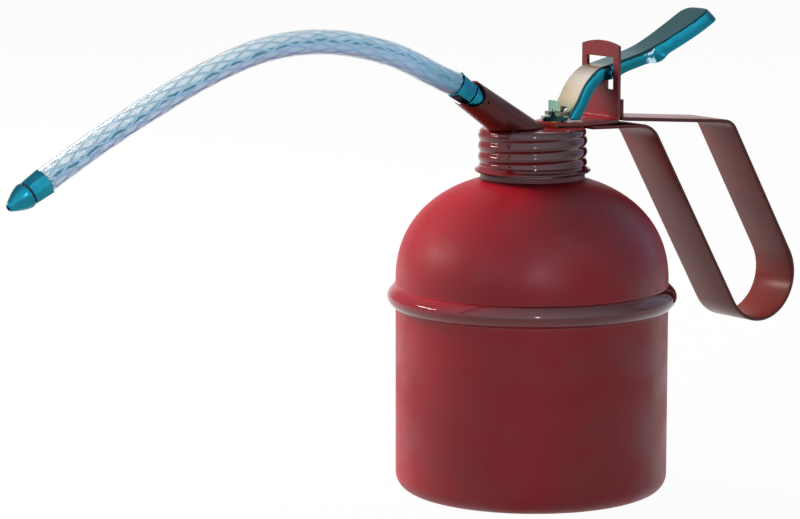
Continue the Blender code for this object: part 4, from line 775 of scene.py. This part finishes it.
def build_spout():
    """Union ring, hose, ferrules and nozzle. The hose narrows under each ferrule by a smooth
    step. The nozzle's cone widens by the mean of its share of the way down and that share's
    sine."""
    outer = SOCKET_MOUTH_RADIUS - SOCKET_SHEET - SHEET_GAP
    back = UNION_PROUD - UNION_LENGTH
    ring = rounded([(UNION_BORE, UNION_PROUD), (outer, UNION_PROUD), (outer, back),
                    (UNION_BORE, back)], [0.35, 0.2], 4)
    dress(turned("union_ring", ring, TEAL, 96, MOUTH, SPOUT), "head", "blue_plate", "hose_union")
    line, reach = hose_line()
    total = reach[-1]
    near = np.minimum(reach, total - reach)
    swell = eased(near - FERRULE_LENGTH + CRIMP_REACH, 0, CRIMP_RUN)
    cover = HOSE_CRIMPED + (HOSE_RADIUS - HOSE_CRIMPED) * swell
    layer = LINER_CRIMPED + (LINER_RADIUS - LINER_CRIMPED) * swell
    clear = round_tube("hose_cover", line, cover, layer + BRAID_ROOM, VINYL)
    dress(clear, "head", "clear_pvc", "spout_hose")
    dress(round_tube("hose_liner", line, layer, HOSE_BORE, LINER), "head", "clear_pvc")
    dress(braid("hose_braid", line, reach, layer + YARN_LIFT + YARN_CLEAR, YARN), "head", "clear_pvc")
    inner = (HOSE_CRIMPED + SHEET_GAP) / cos(pi / 8)
    wide = inner + FERRULE_WALL
    end_axis = line[-1] - line[-3]
    for name, node, origin, axis, sign in (
            ("rear_crimp", "rear_ferrule", line[0], SPOUT, 1),
            ("tip_crimp", "tip_ferrule", line[-1], end_axis, -1)):
        back = -FERRULE_BACK * sign
        profile = [(wide, sign * FERRULE_LENGTH), (wide - FERRULE_TAPER, back),
                   (inner - FERRULE_TAPER, back), (inner, sign * FERRULE_STEP),
                   (inner, sign * FERRULE_LENGTH)]
        piece = turned(name, profile, TEAL, 8, origin, axis, smooth=20.0)
        bevel(piece, 0.16, 20)
        dress(piece, "head", "blue_plate", node)
    base = NOZZLE_NECK + NOZZLE_LAND
    share = np.linspace(0.0, 1.0, 20)
    swelling = (share + np.sin(share * pi / 2)) / 2
    cone = np.column_stack([NOZZLE_TIP + (NOZZLE_RADIUS - NOZZLE_TIP) * swelling,
                            base + NOZZLE_LENGTH * (1 - share)])
    groove, stem, top = NOZZLE_RADIUS - GROOVE_DEPTH, HOSE_BORE - SHEET_GAP, base + NOZZLE_LENGTH
    profile = np.concatenate([
        [(NOZZLE_BORE, top - TIP_CHAMFER), (NOZZLE_TIP - TIP_ROUND, top)], cone[1:],
        [(NOZZLE_RADIUS, NOZZLE_NECK), (groove, NOZZLE_NECK - GROOVE_RISE), (groove, GROOVE_FOOT),
         (stem, GROOVE_FOOT), (stem, -NOZZLE_STEM), (NOZZLE_BORE, -NOZZLE_STEM)]])
    nozzle = turned("nozzle", profile, TEAL, 96, line[-1], end_axis)
    dress(nozzle, "head", "blue_plate", "nozzle_tip")


def build_lever():
    """Pressed channel. A point is found from its reach along the web's line, its place across
    and its depth below: line plus depth times the line's normal. The web is a grid of reach and
    width. The sides are one skirt carried round the outline (side, corner, end, corner, side):
    a fold that is an arc, then a straight flange that leans outward past the kink."""
    line, reach = smooth_line(LEVER_ROUTE, 0.4)
    tangent = np.gradient(line, reach, axis=0)
    floor = FOOT_TOP + SHEET_GAP + LEVER_CLEAR - PIVOT_Z

    def run_at(far):
        """Direction of the line at a reach."""
        run = np.stack([np.interp(far, reach, tangent[:, k]) for k in (0, 1)])
        return run / np.linalg.norm(run, axis=0)

    def on_web(far, y, down):
        """Point at a reach, a place across and a depth."""
        run = run_at(far)
        x = np.interp(far, reach, line[:, 0]) + run[1] * down
        z = np.interp(far, reach, line[:, 1]) - run[0] * down
        return np.stack([PIVOT_X + x, y + 0 * x, PIVOT_Z + z], axis=-1)

    corner = PAD_CORNER - FOLD_RADIUS
    pad_out = FOLD_RADIUS * sin(pi / 2 - SPLAY) + (PAD_FLANGE - FOLD_RADIUS) * sin(SPLAY)
    straight = reach[-1] - corner - pad_out
    start = np.interp(TINE_Z + FORK_DEPTH - PIVOT_Z, line[:, 1], reach)
    rows = np.linspace(start, straight, 150)
    turns = np.linspace(0, pi / 2, 13)[1:]
    widening = (PAD_WIDTH - LEVER_WIDTH) / 2 * eased(rows, PAD_START, PAD_END)
    flat = LEVER_WIDTH / 2 - FOLD_RADIUS + widening
    far = np.concatenate([rows, straight + corner * np.sin(turns)])
    level = np.concatenate([flat, flat[-1] - corner * (1 - np.cos(turns))])
    edges = np.array([TINE_NEAR, TINE_NEAR + TINE_WIDTH]) / flat[0]
    half = np.concatenate([np.linspace(0, edges[0], 4), np.linspace(*edges, 5)[1:], [0.96, 1.0]])
    across = np.concatenate([-half[:0:-1], half])
    web = on_web(np.repeat(far[:, None], len(across), 1), level[:, None] * across, 0.0)

    # skirt: base points round the outline, and the direction in which each leans
    nose = np.linspace(0, start, 9)[:-1]
    side_far = np.concatenate([nose, far])
    side_y = np.concatenate([np.full(len(nose), flat[0]), level])
    lean = np.concatenate([np.zeros(len(nose) + len(rows)), turns])
    end_y = level[-1] * across[1:-1][::-1]
    base_far = np.concatenate([side_far, np.full(len(end_y), far[-1]), side_far[::-1]])
    base_y = np.concatenate([side_y, end_y, -side_y[::-1]])
    ahead = np.concatenate([np.sin(lean), np.ones(len(end_y)), np.sin(lean)[::-1]])
    outward = np.concatenate([np.cos(lean), np.zeros(len(end_y)), -np.cos(lean)[::-1]])
    splay = SPLAY * eased(base_far, SPLAY_START, SPLAY_END)
    depth = FLANGE_DEPTH + (PAD_FLANGE - FLANGE_DEPTH) * eased(base_far, SPLAY_START, SPLAY_END)
    depth += PIVOT_LUG * np.exp(-((base_far - np.interp(0.0, line[:, 0], reach)) / LUG_SPREAD) ** 2)
    depth += KINK_DROP * np.exp(-((base_far - KINK_REACH) / (2 * KINK_DROP)) ** 2)
    room = (np.interp(base_far, reach, line[:, 1]) - floor) / run_at(base_far)[0]
    left = np.maximum(np.minimum(depth, room) - FOLD_RADIUS, LEAST_FLANGE)
    bend = (pi / 2 - splay) * np.linspace(0, 1, 6)[:, None]
    out, down = FOLD_RADIUS * np.sin(bend), FOLD_RADIUS * (1 - np.cos(bend))
    share = np.linspace(0, 1, 5)[1:, None]
    out = np.concatenate([out, out[-1] + share * left * np.sin(splay)])
    down = np.concatenate([down, down[-1] + share * left * np.cos(splay)])
    skirt = on_web(base_far + out * ahead, base_y + out * outward, down)

    # tines: two strips from the web's first row, each bent forward under the rod's head
    bends = FORK_DEPTH * np.array(TINE_BENDS)
    root = web[0, 0]
    tine_x = np.append(root[0] - bends[:, 0], TINE_TIP)
    tine_z = np.append(root[2] - bends[:, 1], root[2] - FORK_DEPTH)
    sheets = [web, skirt]
    for side in (-1, 1):
        width = side * np.linspace(*edges, 5) * flat[0]
        tine = np.broadcast_arrays(tine_x[:, None], width, tine_z[:, None])
        sheets.append(np.stack(tine, axis=-1))
    faces, count = [], 0
    for sheet in sheets:
        faces.append(quads(*sheet.shape[:2], False, False) + count)
        count += sheet[..., 0].size

    def on_skirt(values):
        """An attribute that has values on the skirt and zeros elsewhere."""
        return np.concatenate([np.zeros(web[..., 0].size), np.broadcast_to(values, out.shape).ravel(),
                               np.zeros(count - web[..., 0].size - out.size)])

    marks = on_skirt(np.linspace(0, SKIRT_SPAN, len(out))[:, None])
    # where the painted highlights at the kink go
    glints = on_skirt(np.exp(-((base_far - KINK_REACH + GLINT_BACK) / GLINT_SPREAD) ** 2))
    points = np.concatenate([sheet.reshape(-1, 3) for sheet in sheets])
    made = as_object("thumb_lever", points, np.concatenate(faces), LEVER_PLATE, 40.0, False,
                     skirt=marks, glint=glints)
    shape = bmesh.new()
    shape.from_mesh(made.data)
    bmesh.ops.recalc_face_normals(shape, faces=shape.faces)
    if sum(face.normal.z * face.calc_area() for face in shape.faces) < 0:
        bmesh.ops.reverse_faces(shape, faces=shape.faces)
    shape.to_mesh(made.data)
    shape.free()
    wall = made.modifiers.new("Sheet", "SOLIDIFY")
    wall.thickness, wall.offset, wall.use_even_offset = LEVER_SHEET * MM, -1.0, True
    bevel(made, 0.18, 50)
    dress(made, "lever", "blue_plate", "lever")
    pin = rounded([(0, PIN_HALF), (PIN_RADIUS, PIN_HALF), (PIN_RADIUS, -PIN_HALF), (0, -PIN_HALF)],
                  [PIN_ROUND, PIN_ROUND], 3)
    pin = turned("hinge_pin", pin, TEAL, 40, (PIVOT_X, 0, PIVOT_Z), (0, 1, 0))
    dress(pin, "lever", "blue_plate", "pivot_pin")


def build_pump():
    """The gland nut and the rod get soft edges. The hidden pieces keep the solids' shapes and
    take a material each."""
    dress(softened("gland_nut", "packing_nut", DARK_TEAL, 0.15), "head", "blue_plate", "gland_nut")
    dress(softened("plunger_rod", "yoke_rod", YOKE, 0.12), "plunger", "blue_plate", "plunger_rod")
    for material, names in (
            (BRASS, ("pump_barrel", "piston", "delivery_pipe", "foot_valve", "suction_tube")),
            (RUBBER, ("cap_gasket", "gland_packing", "piston_cup")),
            (WIRE, ("return_spring", "inlet_ball", "ball_stop")),
            (TEAL, ("hose_stem",)), (NECK_ZINC, ("strainer",))):
        for name in names:
            slots = NODES[name].data.materials
            slots.clear()
            slots.append(material)


# surroundings

SOFT_LIGHT, ROOM_LIGHT = 0.05, 2.0
FLOOR_SIZE, FLOOR_DROP = 9.0, 0.0002
FLOOR_GLOW, GLOW_SHARE = 1.1, 0.88


def lamp(name, towards, distance, wide, tall, power, colour="ffffff", glossy=True, diffuse=True):
    """A soft panel that looks at the can from a direction. One that isn't glossy leaves no
    image of itself in the paint, and one that isn't diffuse only leaves an image."""
    light = bpy.data.lights.new(name, "AREA")
    light.shape, light.size, light.size_y, light.energy = "RECTANGLE", wide, tall, power
    light.color = linear(colour)[:3]
    made = bpy.data.objects.new(name, light)
    made.visible_glossy, made.visible_diffuse = glossy, diffuse
    centre = Vector((0.0, 0.0, 0.08))
    made.location = centre + towards.normalized() * distance
    made.rotation_euler = (centre - made.location).to_track_quat("-Z", "Y").to_euler()
    bpy.context.scene.collection.objects.link(made)


def build_stage():
    """White behind the can for the camera. What the enamel and the plate reflect is a room that
    is grey behind the can and grows lighter towards the camera. The brightest lamp is at the
    left. The world isn't sampled as a lamp, because that would miss what reflections see."""
    scene = bpy.context.scene
    scene.view_settings.view_transform = "Standard"
    world = bpy.data.worlds.new("studio")
    scene.world = world
    world.use_nodes = True
    world.cycles.sampling_method = "NONE"
    tree = world.node_tree
    tree.nodes.clear()
    path = tree.nodes.new("ShaderNodeLightPath").outputs
    direction = add(tree, "TexCoord", out="Generated")
    facing = add(tree, "VectorMath", [direction, AWAY], "Value", operation="DOT_PRODUCT")
    level = add(tree, "MapRange", [facing, -1.0, 1.0])
    room = add(tree, "ValToRGB", [level], stops=[
        (0.0, "bcbcbc"), (0.02, "b0b2b4"), (0.1, "74787c"), (0.45, "8c8c94"), (0.75, "d4d4dc"),
        (1.0, "f4f0f8")])
    shown = add(tree, "Math", [path["Is Camera Ray"], path["Is Transmission Ray"]],
                operation="MAXIMUM")
    soft = add(tree, "Background", [linear("e8e4f0"), SOFT_LIGHT])
    seen = add(tree, "Background", [room, ROOM_LIGHT])
    plain = add(tree, "Background", [linear("ffffff"), 1.0])
    mixed = add(tree, "MixShader", [path["Is Glossy Ray"], soft, seen])
    mixed = add(tree, "MixShader", [shown, mixed, plain])
    plug(tree, tree.nodes.new("ShaderNodeOutputWorld"), [mixed])
    as_flat("floor", FLOOR_SIZE)
    lamp("key_panel", UP * 0.7 - RIGHT * 0.75 - AWAY * 0.38, 1.2, 0.7, 0.7, 17.5, "fff6f2", False)
    lamp("front_panel", AWAY * 0.7 - RIGHT * 0.7 + UP * 0.25, 1.3, 0.9, 0.9, 0.3, "fff4f0", False)
    lamp("left_panel", UP * 0.5 - RIGHT * 0.8 - AWAY * 0.35, 1.2, 0.9, 0.7, 0.9, "fff2ea", False)
    lamp("left_tube", UP * 0.36 - RIGHT * 0.95 - AWAY * 0.05, 1.2, 0.42, 0.07, 3.2, "ffe8dc",
         diffuse=False)
    lamp("window_strip", AWAY + RIGHT * 0.04 + UP * 0.2, 1.3, 0.02, 0.25, 1.6, "d4dcff", diffuse=False)
    lamp("violet_panel", RIGHT * 0.82 + UP * 0.38 - AWAY * 0.4, 1.5, 1.0, 1.0, 2.0, "b4a8e4",
         diffuse=False)


def as_flat(name, size):
    """A square floor of paper just below the can. To the camera and in reflections it mostly
    glows white, so that only a faint shadow shows. The glow isn't sampled as a lamp."""
    paper = bpy.data.materials.new("pale_paper")
    paper.use_nodes = True
    paper.cycles.emission_sampling = "NONE"
    tree = paper.node_tree
    shader = tree.nodes["Principled BSDF"]
    plug(tree, shader, {"Base Color": linear("9a9a9a"), "Roughness": 0.9,
                        "Specular IOR Level": 0.0})
    glow = add(tree, "Emission", [linear("ffffff"), FLOOR_GLOW])
    path = tree.nodes.new("ShaderNodeLightPath").outputs
    shown = add(tree, "Math", [path["Is Camera Ray"], path["Is Glossy Ray"]], operation="MAXIMUM")
    shown = add(tree, "Math", [shown, path["Is Transmission Ray"]], operation="MAXIMUM")
    shown = add(tree, "Math", [shown, GLOW_SHARE], operation="MULTIPLY")
    mixed = add(tree, "MixShader", [shown, shader.outputs[0], glow])
    plug(tree, tree.nodes["Material Output"], {"Surface": mixed})
    half, low = size / 2, -FLOOR_DROP
    mesh = bpy.data.meshes.new(name)
    mesh.from_pydata([(-half, -half, low), (half, -half, low), (half, half, low),
                      (-half, half, low)], [], [(0, 1, 2, 3)])
    mesh.materials.append(paper)
    made = bpy.data.objects.new(name, mesh)
    bpy.context.scene.collection.objects.link(made)
    return made


build_body()
build_head()
build_strap()
build_socket()
build_spout()
build_lever()
build_pump()
build_stage()
